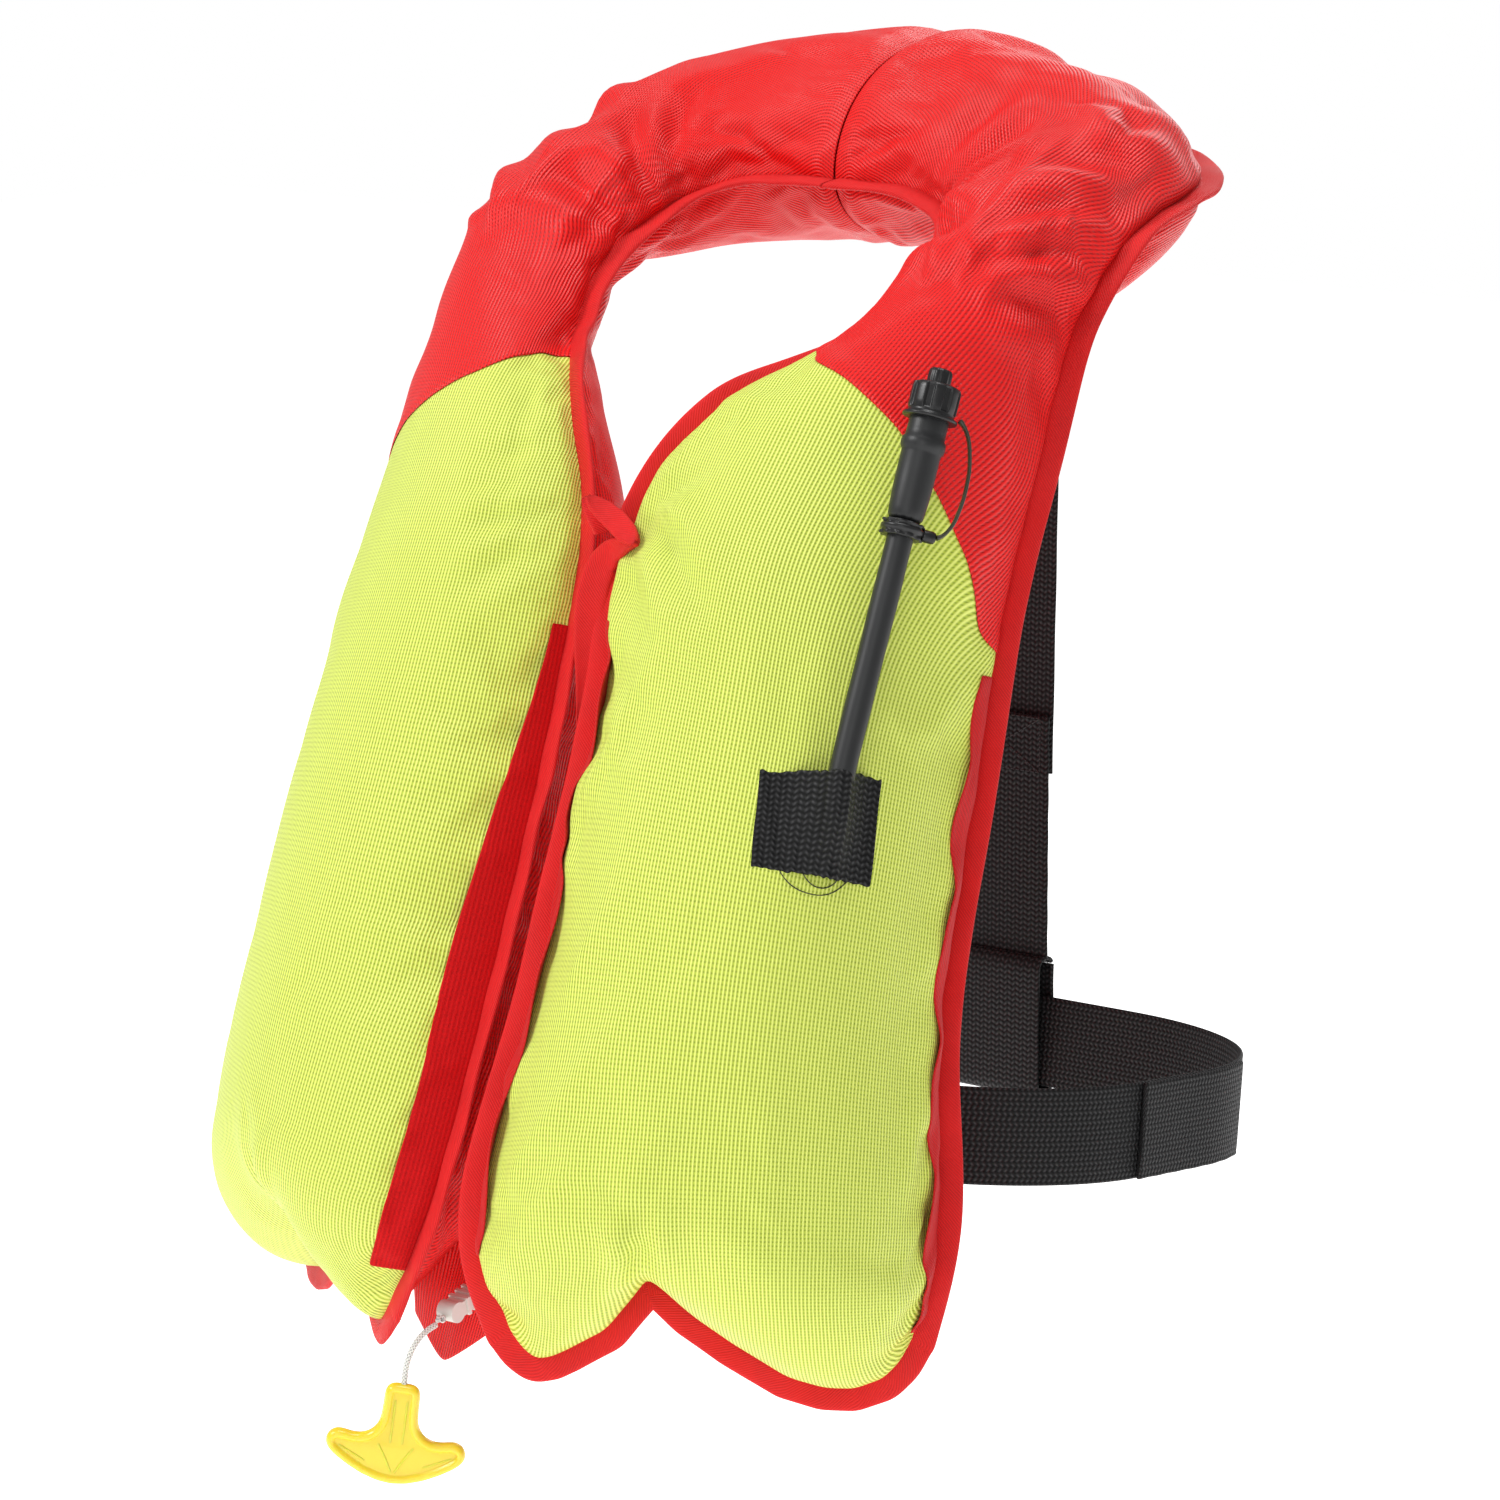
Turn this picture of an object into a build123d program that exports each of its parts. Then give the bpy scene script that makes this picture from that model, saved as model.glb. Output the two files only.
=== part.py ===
from build123d import *
import math
import os

# Inflated lifejacket, millimetres. Origin: middle of the neck opening. +X wearer's left, -Y front, +Z up.

# The cell's edges, one row per station from the centre back (0) round the neck and down to the lobe's end:
# station, inner edge, outer edge, front swell. The other half is its mirror image.
STATIONS = [
    (0.00, (0, 68, 49), (0, 220, 68), 47),
    (0.10, (41, 68, 47), (84, 201, 62), 43),
    (0.20, (67, 54, 34), (143, 149, 54), 38),
    (0.28, (71, 23, 16), (160, 75, 41), 35),
    (0.36, (59, -12, -9), (157, 42, 12), 30),
    (0.45, (29, -53, -26), (155, 17, -46), 38),
    (0.55, (5, -75, -70), (154, -6, -105), 52),
    (0.66, (3, -96, -141), (155, -27, -174), 62),
    (0.78, (3, -136, -243), (158, -53, -261), 66),
    (0.90, (4, -176, -332), (170, -69, -335), 52),
    (1.00, (24, -181, -380), (164, -79, -384), 24),
    (1.08, (40, -176, -414), (157, -86, -418), 9),
]
BACK_SHARE = 0.8            # swell of the cell's back face, as a share of its front
FLANGE = 10.5               # flat bound edge outside the cell's seam
BINDING_THICK = 2.6
SKIN = 1.2                  # fabric cover
SKIN_EDGE = 1.6
FILM_GAP = 1.6              # air bladder inside the cover
SEAM_GAP = 0.015            # angle left free where the front and back covers meet at the seam
BINDING_GAP = 1.4           # binding stops short of the covers
TAPE_GAP = 0.7
HALF_GAP = 0.3              # each half stops this far from the centre plane
YOKE_END = 0.45             # the red yoke ends and the ribbed panel starts here
CELL_END = 1.04             # station of the lobe's sewn end
TAPE_THICK = 1.6            # hook and loop tape
WEBBING = 2.0               # webbing thickness
BELT_WIDTH = 40.0
STRAP_WIDTH = 47.0

# Oral inflation tube
KEEPER_AT = (129.9, -109.8, -170.7)
KEEPER_ACROSS = (0.713, 0.688, -0.145)
KEEPER_OUT = (0.69, -0.649, 0.32)
KEEPER_SIZE = (48.0, 40.0)
TUBE_FOOT = (139.6, -108.0, -151.0)
TUBE_TIP = (140.6, -45.0, -3.8)
TUBE_DIAMETER = 10.5
SWING_ROOM = 36             # degrees of lift that the keeper leaves room for
VALVE_DIAMETER = 15.4
CAP_DIAMETER = 19.0

# Waist belt: a rounded rectangle in a plane that rises towards the front
BELT_CENTRE = (0, 84, -326)
BELT_HALF_WIDTH = 168.0
BELT_HALF_DEPTH = 122.8
BELT_CORNER = 100.0
BELT_RISE = 0.115           # rise per millimetre forward

# Inflation unit
INFLATOR_AT = (-9, -98, -352)
INFLATOR_LEAN = (0, 0.45, 0.893)
LEVER_PIVOT = (-9, -113, -364)
LEVER_TIP = (-9, -165, -377)
LEVER_WIDTH = 8.0

# Pull cord, from the lever's tip to the handle
CORD_DIAMETER = 2.4
KNOT_RADIUS = 2.3
CORD_ROUTE = [(-9, -173.9, -380.4), (-9.8, -182, -384.6), (-11.1, -188, -391.5), (-12, -190.5, -401.1)]
HANDLE_TOP = (-12, -190.5, -401.5)
HANDLE_ACROSS = (0.8, 0.6, 0)
HANDLE_SIZE = (53.0, 40.0)
HANDLE_THICK = 8.0

nodes = {}


# ---------------------------------------------------------------- the cell's shape

def mirrored_row(row):
    """The row on the other side of the centre back, for a level start there."""
    t, inner, outer, swell = row
    return (-t, (-inner[0], inner[1], inner[2]), (-outer[0], outer[1], outer[2]), swell)


def station_values(t):
    """Inner edge, outer edge and swell at station t, by a smooth curve through the rows."""
    rows = [mirrored_row(STATIONS[1])] + STATIONS
    flat = [(r[0], list(r[1]) + list(r[2]) + [r[3]]) for r in rows]
    i = 1
    while i < len(flat) - 2 and t > flat[i + 1][0]:
        i += 1

    def slope(k, c):
        if k == len(flat) - 1:
            return (flat[k][1][c] - flat[k - 1][1][c]) / (flat[k][0] - flat[k - 1][0])
        before = flat[k][0] - flat[k - 1][0]
        after = flat[k + 1][0] - flat[k][0]
        fall = (flat[k][1][c] - flat[k - 1][1][c]) / before
        rise = (flat[k + 1][1][c] - flat[k][1][c]) / after
        return (rise * before + fall * after) / (before + after)

    t0, t1 = flat[i][0], flat[i + 1][0]
    span = t1 - t0
    s = (t - t0) / span
    values = []
    for c in range(7):
        a, b = flat[i][1][c], flat[i + 1][1][c]
        m0, m1 = slope(i, c) * span, slope(i + 1, c) * span
        values.append(
            a * (2 * s**3 - 3 * s**2 + 1) + m0 * (s**3 - 2 * s**2 + s)
            + b * (3 * s**2 - 2 * s**3) + m1 * (s**3 - s**2)
        )
    return Vector(*values[0:3]), Vector(*values[3:6]), values[6]


def cell_section(side, t):
    """Origin at the inner edge, unit vectors along and out of the section, its width and swell."""
    inner, outer, swell = station_values(t)
    ahead_in, ahead_out, _ = station_values(t + 0.01)
    behind_in, behind_out, _ = station_values(t - 0.01)
    run = (ahead_in + ahead_out) - (behind_in + behind_out)
    along = (outer - inner).normalized()
    out = along.cross(run).normalized()
    if out.dot(Vector(0, -1, 0.3)) < 0:
        out = out * -1
    width = (outer - inner).length
    flip = Vector(side, 1, 1)

    def turned(v):
        return Vector(v.X * flip.X, v.Y, v.Z)

    shift = Vector(side * HALF_GAP, 0, 0)
    return turned(inner) + shift, turned(along), turned(out), width, swell


def arc_points(section, trim_width, trim_height, share, start=0.0, end=math.pi, count=9):
    """Points of one half-ellipse of a section, trimmed inside (+) or outside (-) the cover."""
    origin, along, out, width, swell = section
    half = width / 2 - FLANGE - trim_width
    height = swell * abs(share) - trim_height
    sign = 1 if share > 0 else -1
    points = []
    for k in range(count):
        a = start + (end - start) * k / (count - 1)
        across = width / 2 - half * math.cos(a)
        points.append(origin + along * across + out * (sign * height * math.sin(a)))
    return points


def stations_between(t0, t1, step=0.03):
    count = max(2, math.ceil((t1 - t0) / step))
    return [t0 + (t1 - t0) * k / count for k in range(count + 1)]


def lofted(wires):
    solid = Solid.make_loft(wires, False)
    if solid.volume < 0:
        solid = Solid.make_loft(list(reversed(wires)), False)
    return solid


def bladder_solid(side, t0, t1):
    wires = []
    for t in stations_between(t0, t1):
        section = cell_section(side, t)
        trim = SKIN_EDGE + FILM_GAP, SKIN + FILM_GAP
        front = arc_points(section, *trim, 1.0)
        back = arc_points(section, *trim, -BACK_SHARE)
        wires.append(Wire([Spline(*front), Spline(*reversed(back))]))
    return lofted(wires)


def cover_solid(side, t0, t1, share):
    """A fabric cover on the front (share 1) or back of the cell, as a closed shell."""
    wires = []
    for t in stations_between(t0, t1):
        section = cell_section(side, t)
        outer = arc_points(section, 0, 0, share, SEAM_GAP, math.pi - SEAM_GAP)
        inner = arc_points(section, SKIN_EDGE, SKIN, share, SEAM_GAP, math.pi - SEAM_GAP)
        wires.append(Wire([
            Spline(*outer), Line(outer[-1], inner[-1]), Spline(*reversed(inner)), Line(inner[0], outer[0]),
        ]))
    return lofted(wires)


def tape_solid(side, t0, t1, angle0, angle1):
    """A closure tape on the cell's front, between two angles of the section's arc."""
    wires = []
    for t in stations_between(t0, t1):
        section = cell_section(side, t)
        top = TAPE_GAP + TAPE_THICK
        low = arc_points(section, -TAPE_GAP, -TAPE_GAP, 1.0, angle0, angle1, 4)
        high = arc_points(section, -top, -top, 1.0, angle0, angle1, 4)
        wires.append(Wire([
            Spline(*low), Line(low[-1], high[-1]), Spline(*reversed(high)), Line(high[0], low[0]),
        ]))
    return lofted(wires)


def flange_solid(side, t0, t1, outer):
    """The bound flange along the inner or the outer edge."""
    wires = []
    half = BINDING_THICK / 2
    for t in stations_between(t0, t1):
        origin, along, out, width, _ = cell_section(side, t)
        near, far = (width - FLANGE + BINDING_GAP, width) if outer else (0, FLANGE - BINDING_GAP)
        corners = [origin + along * a + out * b for a, b in
                   ((near, -half), (far, -half), (far, half), (near, half))]
        wires.append(Wire.make_polygon(corners, close=True))
    return lofted(wires)


def end_binding_solid(side):
    """The bound edge across a lobe's lower end."""
    low, high = cell_section(side, CELL_END), cell_section(side, CELL_END + 0.02)
    half = BINDING_THICK / 2
    wires = []
    for share in (0.0, 0.2, 0.4, 0.6, 0.8, 1.0):
        here = low[0] + low[1] * (low[3] * share)
        there = high[0] + high[1] * (high[3] * share)
        down = (there - here).normalized()
        start = here + down * 0.3
        corners = [start + down * a + low[2] * b for a, b in
                   ((0, -half), (FLANGE, -half), (FLANGE, half), (0, half))]
        wires.append(Wire.make_polygon(corners, close=True))
    return lofted(wires)


for side, name in ((1, "left"), (-1, "right")):
    nodes[f"{name}_air_bladder"] = bladder_solid(side, 0.0, CELL_END - 0.01)
    nodes[f"{name}_front_yoke"] = cover_solid(side, 0.0, YOKE_END, 1.0)
    nodes[f"{name}_front_panel"] = cover_solid(side, YOKE_END, CELL_END, 1.0)
    nodes[f"{name}_back_panel"] = cover_solid(side, 0.0, CELL_END, -BACK_SHARE)
    nodes[f"{name}_inner_binding"] = flange_solid(side, 0.0, CELL_END, False)
    nodes[f"{name}_outer_binding"] = flange_solid(side, 0.0, CELL_END, True)
    nodes[f"{name}_end_binding"] = end_binding_solid(side)
    nodes[f"{name}_inner_tape"] = tape_solid(side, 0.60, 0.96, 0.04, 0.34)
    nodes[f"{name}_outer_tape"] = tape_solid(side, 0.59, 0.98, math.pi - 0.30, math.pi - 0.08)

nodes["lobe_tie"] = Pos(0, -80, -88) * Box(4.2, 3.0, 20.0)


# ---------------------------------------------------------------- small helpers

def direction(start, end):
    return (Vector(*end) - Vector(*start)).normalized()


def rod(start, end, radius):
    """A round bar between two points."""
    length = (Vector(*end) - Vector(*start)).length
    plane = Plane(origin=start, z_dir=tuple(direction(start, end)))
    return plane * Cylinder(radius, length, align=(Align.CENTER, Align.CENTER, Align.MIN))


def rounded_box(x, y, z, radius):
    block = Box(x, y, z)
    return fillet(block.edges(), radius)


def along_plane(point, z_dir, x_dir=None):
    return Plane(origin=point, x_dir=x_dir, z_dir=z_dir)


# ---------------------------------------------------------------- oral inflation tube

tube_dir = tuple(direction(TUBE_FOOT, TUBE_TIP))
tube_length = (Vector(*TUBE_TIP) - Vector(*TUBE_FOOT)).length
tube_plane = along_plane(TUBE_FOOT, tube_dir, KEEPER_ACROSS)
tube_radius = TUBE_DIAMETER / 2
valve_start = tube_length - 58          # the wider valve housing takes the top of the tube
valve_end = tube_length - 14
keeper_plane = Plane(origin=KEEPER_AT, x_dir=KEEPER_ACROSS, z_dir=KEEPER_OUT)


def make_oral_tube():
    """Hollow rubber tube with a ball end at the hinge, where it bends out of the keeper."""
    ball = Sphere(tube_radius)
    barrel = Pos(0, 0, valve_start / 2) * Cylinder(tube_radius, valve_start)
    bore = Pos(0, 0, valve_start / 2 + 6) * Cylinder(tube_radius - 2, valve_start - 6)
    return tube_plane * (ball + barrel - bore)


def make_valve_housing():
    """Hard sleeve over the tube's end, with a stop ring and a mouth for the poppet."""
    radius = VALVE_DIAMETER / 2
    length = valve_end - valve_start
    sleeve = Pos(0, 0, valve_start + length / 2 + 0.2) * Cylinder(radius, length)
    ring = Pos(0, 0, valve_start + 30) * Cylinder(radius + 1.2, 3)
    mouth = Pos(0, 0, valve_end - 8) * Cylinder(radius - 3.2, 20)
    passage = Pos(0, 0, valve_start + 12) * Cylinder(2.6, 40)
    return tube_plane * (sleeve + ring - mouth - passage)


def make_tether_ring():
    """Split collar that holds the cap's tether to the foot of the valve housing."""
    ring = Pos(0, 0, valve_start - 4) * (Cylinder(tube_radius + 3.2, 6) - Cylinder(tube_radius + 0.05, 8))
    lug = Pos(tube_radius + 5.2, 0, valve_start - 4) * rounded_box(6, 5, 5, 0.8)
    lug -= Pos(0, 0, valve_start - 4) * Cylinder(tube_radius + 3.2, 8)
    return tube_plane * (ring + lug)


def make_valve_poppet():
    """Spring-loaded poppet that is pressed down to let air out."""
    stem = Pos(0, 0, valve_end - 14) * Cylinder(1.4, 20)
    head = Pos(0, 0, valve_end - 3.4) * Cylinder(3.6, 2.2)
    return tube_plane * (stem + head)


def make_valve_spring():
    """Short coil under the poppet's head."""
    turns, radius, wire = 4, 2.9, 0.35
    rings = [
        Pos(0, 0, valve_end - 16.5 + 2.4 * k) * Torus(radius, wire)
        for k in range(turns)
    ]
    return tube_plane * Compound(children=[r for r in rings])


def make_dust_cap():
    """Cup over the mouth, with a castellated rim and a knob on top."""
    radius = CAP_DIAMETER / 2
    skirt = Pos(0, 0, valve_end + 3) * Cylinder(radius, 14)
    hollow = Pos(0, 0, valve_end + 1) * Cylinder(VALVE_DIAMETER / 2 + 0.3, 14)
    cap = skirt - hollow
    for k in range(8):
        notch = Rot(0, 0, 45 * k) * Pos(radius, 0, valve_end + 8) * Box(2.4, 3.2, 6)
        cap -= notch
    knob = Pos(0, 0, valve_end + 13) * Cylinder(4.2, 6)
    return tube_plane * (cap + fillet(knob.edges().sort_by(Axis.Z)[-1], 1.2))


def make_cap_tether():
    """Thin arched strap from the ring to the cap."""
    start = valve_start - 4
    arch = [(14.4, start), (18.6, start + 6), (19.7, start + 24), (14.6, start + 42), (11.0, valve_end + 1)]
    outer = [(x + 0.8, z) for x, z in arch]
    inner = [(x - 0.8, z) for x, z in arch]
    outline = Wire([
        Spline(*[(x, 0, z) for x, z in outer]),
        Line((outer[-1][0], 0, outer[-1][1]), (inner[-1][0], 0, inner[-1][1])),
        Spline(*[(x, 0, z) for x, z in reversed(inner)]),
        Line((inner[0][0], 0, inner[0][1]), (outer[0][0], 0, outer[0][1])),
    ])
    return tube_plane * extrude(Face(outline), 1.6, dir=(0, 1, 0), both=True)


def make_keeper():
    """Webbing patch with a hump over the tube's foot."""
    wide, tall = KEEPER_SIZE
    tunnel_axis = keeper_plane.to_local_coords(Vector(*TUBE_FOOT))
    hump_x, hump_z = tunnel_axis.X, tunnel_axis.Z
    hump = Pos(hump_x, 0, hump_z) * Rot(90, 0, 0) * Cylinder(tube_radius + 3.0, tall)
    base = Pos(0, 0, 2.5) * Box(wide, tall, WEBBING)
    filler = Pos(hump_x, 0, hump_z / 2 + 0.8) * Box(2 * tube_radius + 6, tall, hump_z - 1.6)
    tunnel = Pos(hump_x, 0, hump_z) * Rot(90, 0, 0) * Cylinder(tube_radius + 1.0, tall + 2)
    under = Pos(hump_x, 0, hump_z / 2 - 2) * Box(2 * tube_radius + 2, tall + 2, hump_z + 4)
    keeper = keeper_plane * (base + hump + filler - tunnel - under)
    hinge = Axis(TUBE_FOOT, KEEPER_ACROSS)
    swept = tube_plane * (Pos(0, 0, 30) * Cylinder(tube_radius + 1.0, 60))
    for lifted in range(0, SWING_ROOM + 1, 4):
        keeper -= swept.rotate(hinge, lifted)
    return keeper


def make_tube_root():
    """Fixed foot of the tube inside the keeper."""
    foot = keeper_plane.to_local_coords(Vector(*TUBE_FOOT))
    top = foot.Y - tube_radius - 1.2
    length = top + KEEPER_SIZE[1] / 2 - 3
    stub = Pos(foot.X, top - length / 2, foot.Z) * Rot(90, 0, 0) * Cylinder(tube_radius, length)
    return keeper_plane * stub


nodes["tube_keeper"] = make_keeper()
nodes["tube_root"] = make_tube_root()
nodes["oral_tube"] = make_oral_tube()
nodes["valve_housing"] = make_valve_housing()
nodes["tether_ring"] = make_tether_ring()
nodes["valve_poppet"] = make_valve_poppet()
nodes["valve_spring"] = make_valve_spring()
nodes["dust_cap"] = make_dust_cap()
nodes["cap_tether"] = make_cap_tether()


# ---------------------------------------------------------------- back strap and waist belt

belt_normal = tuple(Vector(0, BELT_RISE, 1).normalized())
belt_plane = Plane(origin=BELT_CENTRE, x_dir=(1, 0, 0), z_dir=belt_normal)
strap_y = BELT_CENTRE[1] + BELT_HALF_DEPTH * 0.993
strap_loop_top = -305
strap_loop_bottom = -366
strap_join = (-222, -192)               # the two strap pieces overlap between these heights


def belt_ring(lift, thick):
    """Full ring of webbing, its inner face lift outside the belt's middle line less one."""
    inner = lift - WEBBING / 2
    outer = inner + thick
    rings = []
    for grow in (outer, inner):
        rings.append(RectangleRounded(
            2 * (BELT_HALF_WIDTH + grow), 2 * (BELT_HALF_DEPTH + grow), BELT_CORNER + grow))
    return Pos(0, 0, -BELT_WIDTH / 2) * extrude(rings[0] - rings[1], BELT_WIDTH)


def belt_cut(x0, x1, y0, y1):
    return Pos((x0 + x1) / 2, (y0 + y1) / 2, 0) * Box(x1 - x0, y1 - y0, BELT_WIDTH + 10)


front_y = -BELT_HALF_DEPTH
socket_span = (2.0, 38.0)
plug_span = (-38.0, 1.5)
BELT_END = -75.0            # the belt stops here, under the plug's webbing
BUCKLE_TALL = 52.0
BUCKLE_THICK = 11.0


def make_waist_belt():
    gap = belt_cut(BELT_END, socket_span[1] + 6.3, front_y - 20, front_y + 20)
    return belt_plane * (belt_ring(0, WEBBING) - gap)


def make_belt_doubling():
    """Second layer of webbing sewn on the outside at the wearer's left."""
    layer = belt_ring(WEBBING + 0.3, WEBBING)
    keep = belt_cut(BELT_HALF_WIDTH - 40, BELT_HALF_WIDTH + 20, -30, 62)
    return belt_plane * (layer & keep)


def make_belt_end_loop():
    """The belt's sewn end round the socket's bar."""
    x0, x1 = socket_span[1] - 4.4, socket_span[1] + 24
    loop = Pos((x0 + x1) / 2, front_y - BUCKLE_THICK / 2 - 1.3, 0) * Box(x1 - x0, WEBBING, BELT_WIDTH)
    return belt_plane * loop


def make_back_strap():
    """Upper back strap, from the collar's bound edge down to the overlap."""
    top = Vector(0, strap_y + 7.5, 64.5)
    low = Vector(0, strap_y + 2.6, strap_join[0])
    plane = Plane(origin=tuple((top + low) * 0.5), x_dir=(1, 0, 0), z_dir=tuple((top - low).normalized()))
    return plane * Box(STRAP_WIDTH, WEBBING, (top - low).length)


def make_lower_strap():
    height = strap_join[1] - strap_loop_top - 4
    return Pos(0, strap_y - 0.2, strap_join[1] - height / 2) * Box(STRAP_WIDTH, WEBBING, height)


def make_strap_loop():
    """Doubled end of the back strap, open for the waist belt."""
    tall = strap_loop_top + 4 - strap_loop_bottom
    block = Box(STRAP_WIDTH, 13.0, tall)
    block = fillet(block.edges().filter_by(Axis.X), 4.0)
    slot = Pos(0, 0, -1.0) * Box(STRAP_WIDTH + 2, 9.0, tall - 2 * WEBBING - 3)
    slot = fillet(slot.edges().filter_by(Axis.X), 2.4)
    return Pos(0, strap_y - 0.2, strap_loop_bottom + tall / 2 - 0.2) * (block - slot)


def make_strap_anchor():
    """Reinforcing patch that sews the strap to the collar's bound edge."""
    return Pos(0, 216.2, 72.0) * Box(STRAP_WIDTH + 14, 10, 1.6)


def make_socket():
    """Female half of the side release buckle, open towards the plug and at both sides."""
    x0, x1 = socket_span
    length = x1 - x0
    shell = Pos((x0 + x1) / 2, front_y, 0) * rounded_box(length, BUCKLE_THICK, BUCKLE_TALL, 2.4)
    cavity = Pos(x0 + 13, front_y, 0) * Box(30, BUCKLE_THICK - 4.4, BUCKLE_TALL - 7)
    shell -= cavity
    for way in (-1, 1):
        window = Pos(x0 + 17, front_y, way * BUCKLE_TALL / 2) * Box(15, BUCKLE_THICK + 2, 13)
        shell -= window
    slot = Pos(x1 - 5.6, front_y, 0) * Box(3.2, BUCKLE_THICK + 2, BELT_WIDTH + 2)
    return belt_plane * (shell - slot)


def make_plug():
    """Male half: a frame with the webbing bar and a guide tongue."""
    x0, x1 = plug_span
    frame = Pos((x0 + x1) / 2, front_y, 0) * rounded_box(x1 - x0, BUCKLE_THICK - 2, BUCKLE_TALL - 2, 2.0)
    for x in (x0 + 8, x0 + 19):
        frame -= Pos(x, front_y, 0) * Box(5, BUCKLE_THICK + 2, BELT_WIDTH + 2)
    for way in (-1, 1):
        frame -= Pos(x1 - 3, front_y, way * 16.5) * Box(7, BUCKLE_THICK + 2, 10)
    tongue = Pos(x1 + 10, front_y, 0) * rounded_box(23, 5.0, 13, 1.2)
    return belt_plane * (frame + tongue)


prong_root_x = plug_span[1] - 6.0


def make_prong(way):
    """Springy side arm with a thumb pad; way is 1 for the upper arm."""
    arm = Pos(prong_root_x + 12.2, front_y, way * 16.5) * rounded_box(23, 5.2, 4.0, 1.0)
    pad = Pos(prong_root_x + 20.4, front_y, way * 18.6) * rounded_box(10, 5.2, 6.6, 1.6)
    return belt_plane * (arm + pad)


def make_tongue_webbing():
    """Webbing on the plug, lying over the belt's free end, which it slides along as the buckle opens."""
    length = 60.0
    centre = plug_span[0] - 0.3 - length / 2
    return belt_plane * (Pos(centre, front_y - 2.6, 0) * Box(length, WEBBING, BELT_WIDTH))


def make_belt_keeper():
    """Elastic loop that holds the overlapping webbing together."""
    outer = Box(12, 13.4, BELT_WIDTH + 6)
    outer = fillet(outer.edges().filter_by(Axis.X), 2.0)
    inner = Box(14, 10.6, BELT_WIDTH + 2)
    return belt_plane * (Pos(-84, front_y - 0.8, 0) * (outer - inner))


nodes["back_strap"] = make_back_strap()
nodes["lower_strap"] = make_lower_strap()
nodes["belt_loop"] = make_strap_loop()
nodes["strap_anchor"] = make_strap_anchor()
nodes["waist_belt"] = make_waist_belt()
nodes["belt_doubling"] = make_belt_doubling()
nodes["belt_end"] = make_belt_end_loop()
nodes["buckle_socket"] = make_socket()
nodes["buckle_plug"] = make_plug()
nodes["upper_prong"] = make_prong(1)
nodes["lower_prong"] = make_prong(-1)
nodes["plug_webbing"] = make_tongue_webbing()
nodes["belt_keeper"] = make_belt_keeper()


# ---------------------------------------------------------------- inflation unit

unit_plane = Plane(origin=INFLATOR_AT, x_dir=(1, 0, 0), z_dir=INFLATOR_LEAN)
pivot_local = unit_plane.to_local_coords(Vector(*LEVER_PIVOT))
GAS_RADIUS = 13.5
GAS_LENGTH = 96.0


def make_inflator_body():
    """Moulded block with a clevis for the lever, a bore for the pin and a socket for the cylinder."""
    block = Pos(0, 0, 6) * rounded_box(28, 22, 32, 3.0)
    collar = Pos(0, 0, 25) * Cylinder(11.5, 10)
    body = block + collar
    for way in (-1, 1):
        ear = Pos(way * 6.8, pivot_local.Y, pivot_local.Z + 4) * Box(3.6, 11, 18)
        ear = fillet(ear.edges().filter_by(Axis.X), 2.5)
        body += ear
    body -= Pos(0, pivot_local.Y, pivot_local.Z) * Rot(0, 90, 0) * Cylinder(2.05, 30)
    body -= Pos(0, 0, 6) * Cylinder(4.2, 28)
    body -= Pos(0, 0, 26) * Cylinder(6.6, 14)
    relief = Pos(0, pivot_local.Y, pivot_local.Z) * Rot(0, 90, 0) * Cylinder(6.6, LEVER_WIDTH + 1.2)
    return unit_plane * (body - relief)


def make_gas_cylinder():
    """Steel cylinder with a domed end and a threaded neck in the body's socket."""
    neck = Pos(0, 0, 27.5) * Cylinder(6.5, 14) - Pos(0, 0, 23) * Cylinder(2.4, 7)
    profile = Pos(0, 0, 34.5 + GAS_LENGTH / 2) * Cylinder(GAS_RADIUS, GAS_LENGTH)
    edges = profile.edges().filter_by(GeomType.CIRCLE).sort_by(Axis.Z)
    profile = fillet(edges[0], 6.0)
    profile = fillet(profile.edges().filter_by(GeomType.CIRCLE).sort_by(Axis.Z)[-1], 11.0)
    return unit_plane * (neck + profile)


def make_firing_pin():
    """Pin that the lever drives up into the cylinder's seal."""
    stem = Cylinder(2.6, 20)
    point = Pos(0, 0, 12.5) * Cone(1.6, 0.4, 5)
    return unit_plane * (Pos(0, 0, 3) * (stem + point))


def make_firing_spring():
    rings = [Pos(0, 0, -3 + 3.0 * k) * Torus(3.45, 0.4) for k in range(6)]
    return unit_plane * Compound(children=rings)


def make_lever():
    """Lever with a hub between the clevis ears and a ribbed tip."""
    reach = (Vector(*LEVER_TIP) - Vector(*LEVER_PIVOT)).length
    plane = Plane(origin=LEVER_PIVOT, x_dir=(1, 0, 0), z_dir=tuple(direction(LEVER_PIVOT, LEVER_TIP)))
    hub = Rot(0, 90, 0) * Cylinder(6.0, LEVER_WIDTH)
    arm = Pos(0, 0, reach / 2) * Box(LEVER_WIDTH, 6.0, reach)
    tip = Pos(0, 0, reach) * Rot(0, 90, 0) * Cylinder(4.2, LEVER_WIDTH)
    ribs = [Pos(0, 0, reach - 6 - 4 * k) * Box(LEVER_WIDTH + 1.6, 7.4, 1.6) for k in range(4)]
    lever = hub + arm + tip
    for rib in ribs:
        lever += rib
    lever -= Rot(0, 90, 0) * Cylinder(2.05, LEVER_WIDTH + 4)
    return plane * lever


def make_lever_pin():
    return unit_plane * (Pos(0, pivot_local.Y, pivot_local.Z) * Rot(0, 90, 0) * Cylinder(2.0, 19))


stem_start = Vector(INFLATOR_AT[0] - 12, -103.0, -350.0)
stem_end = Vector(-32.5, -112.3, -350.0)


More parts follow.
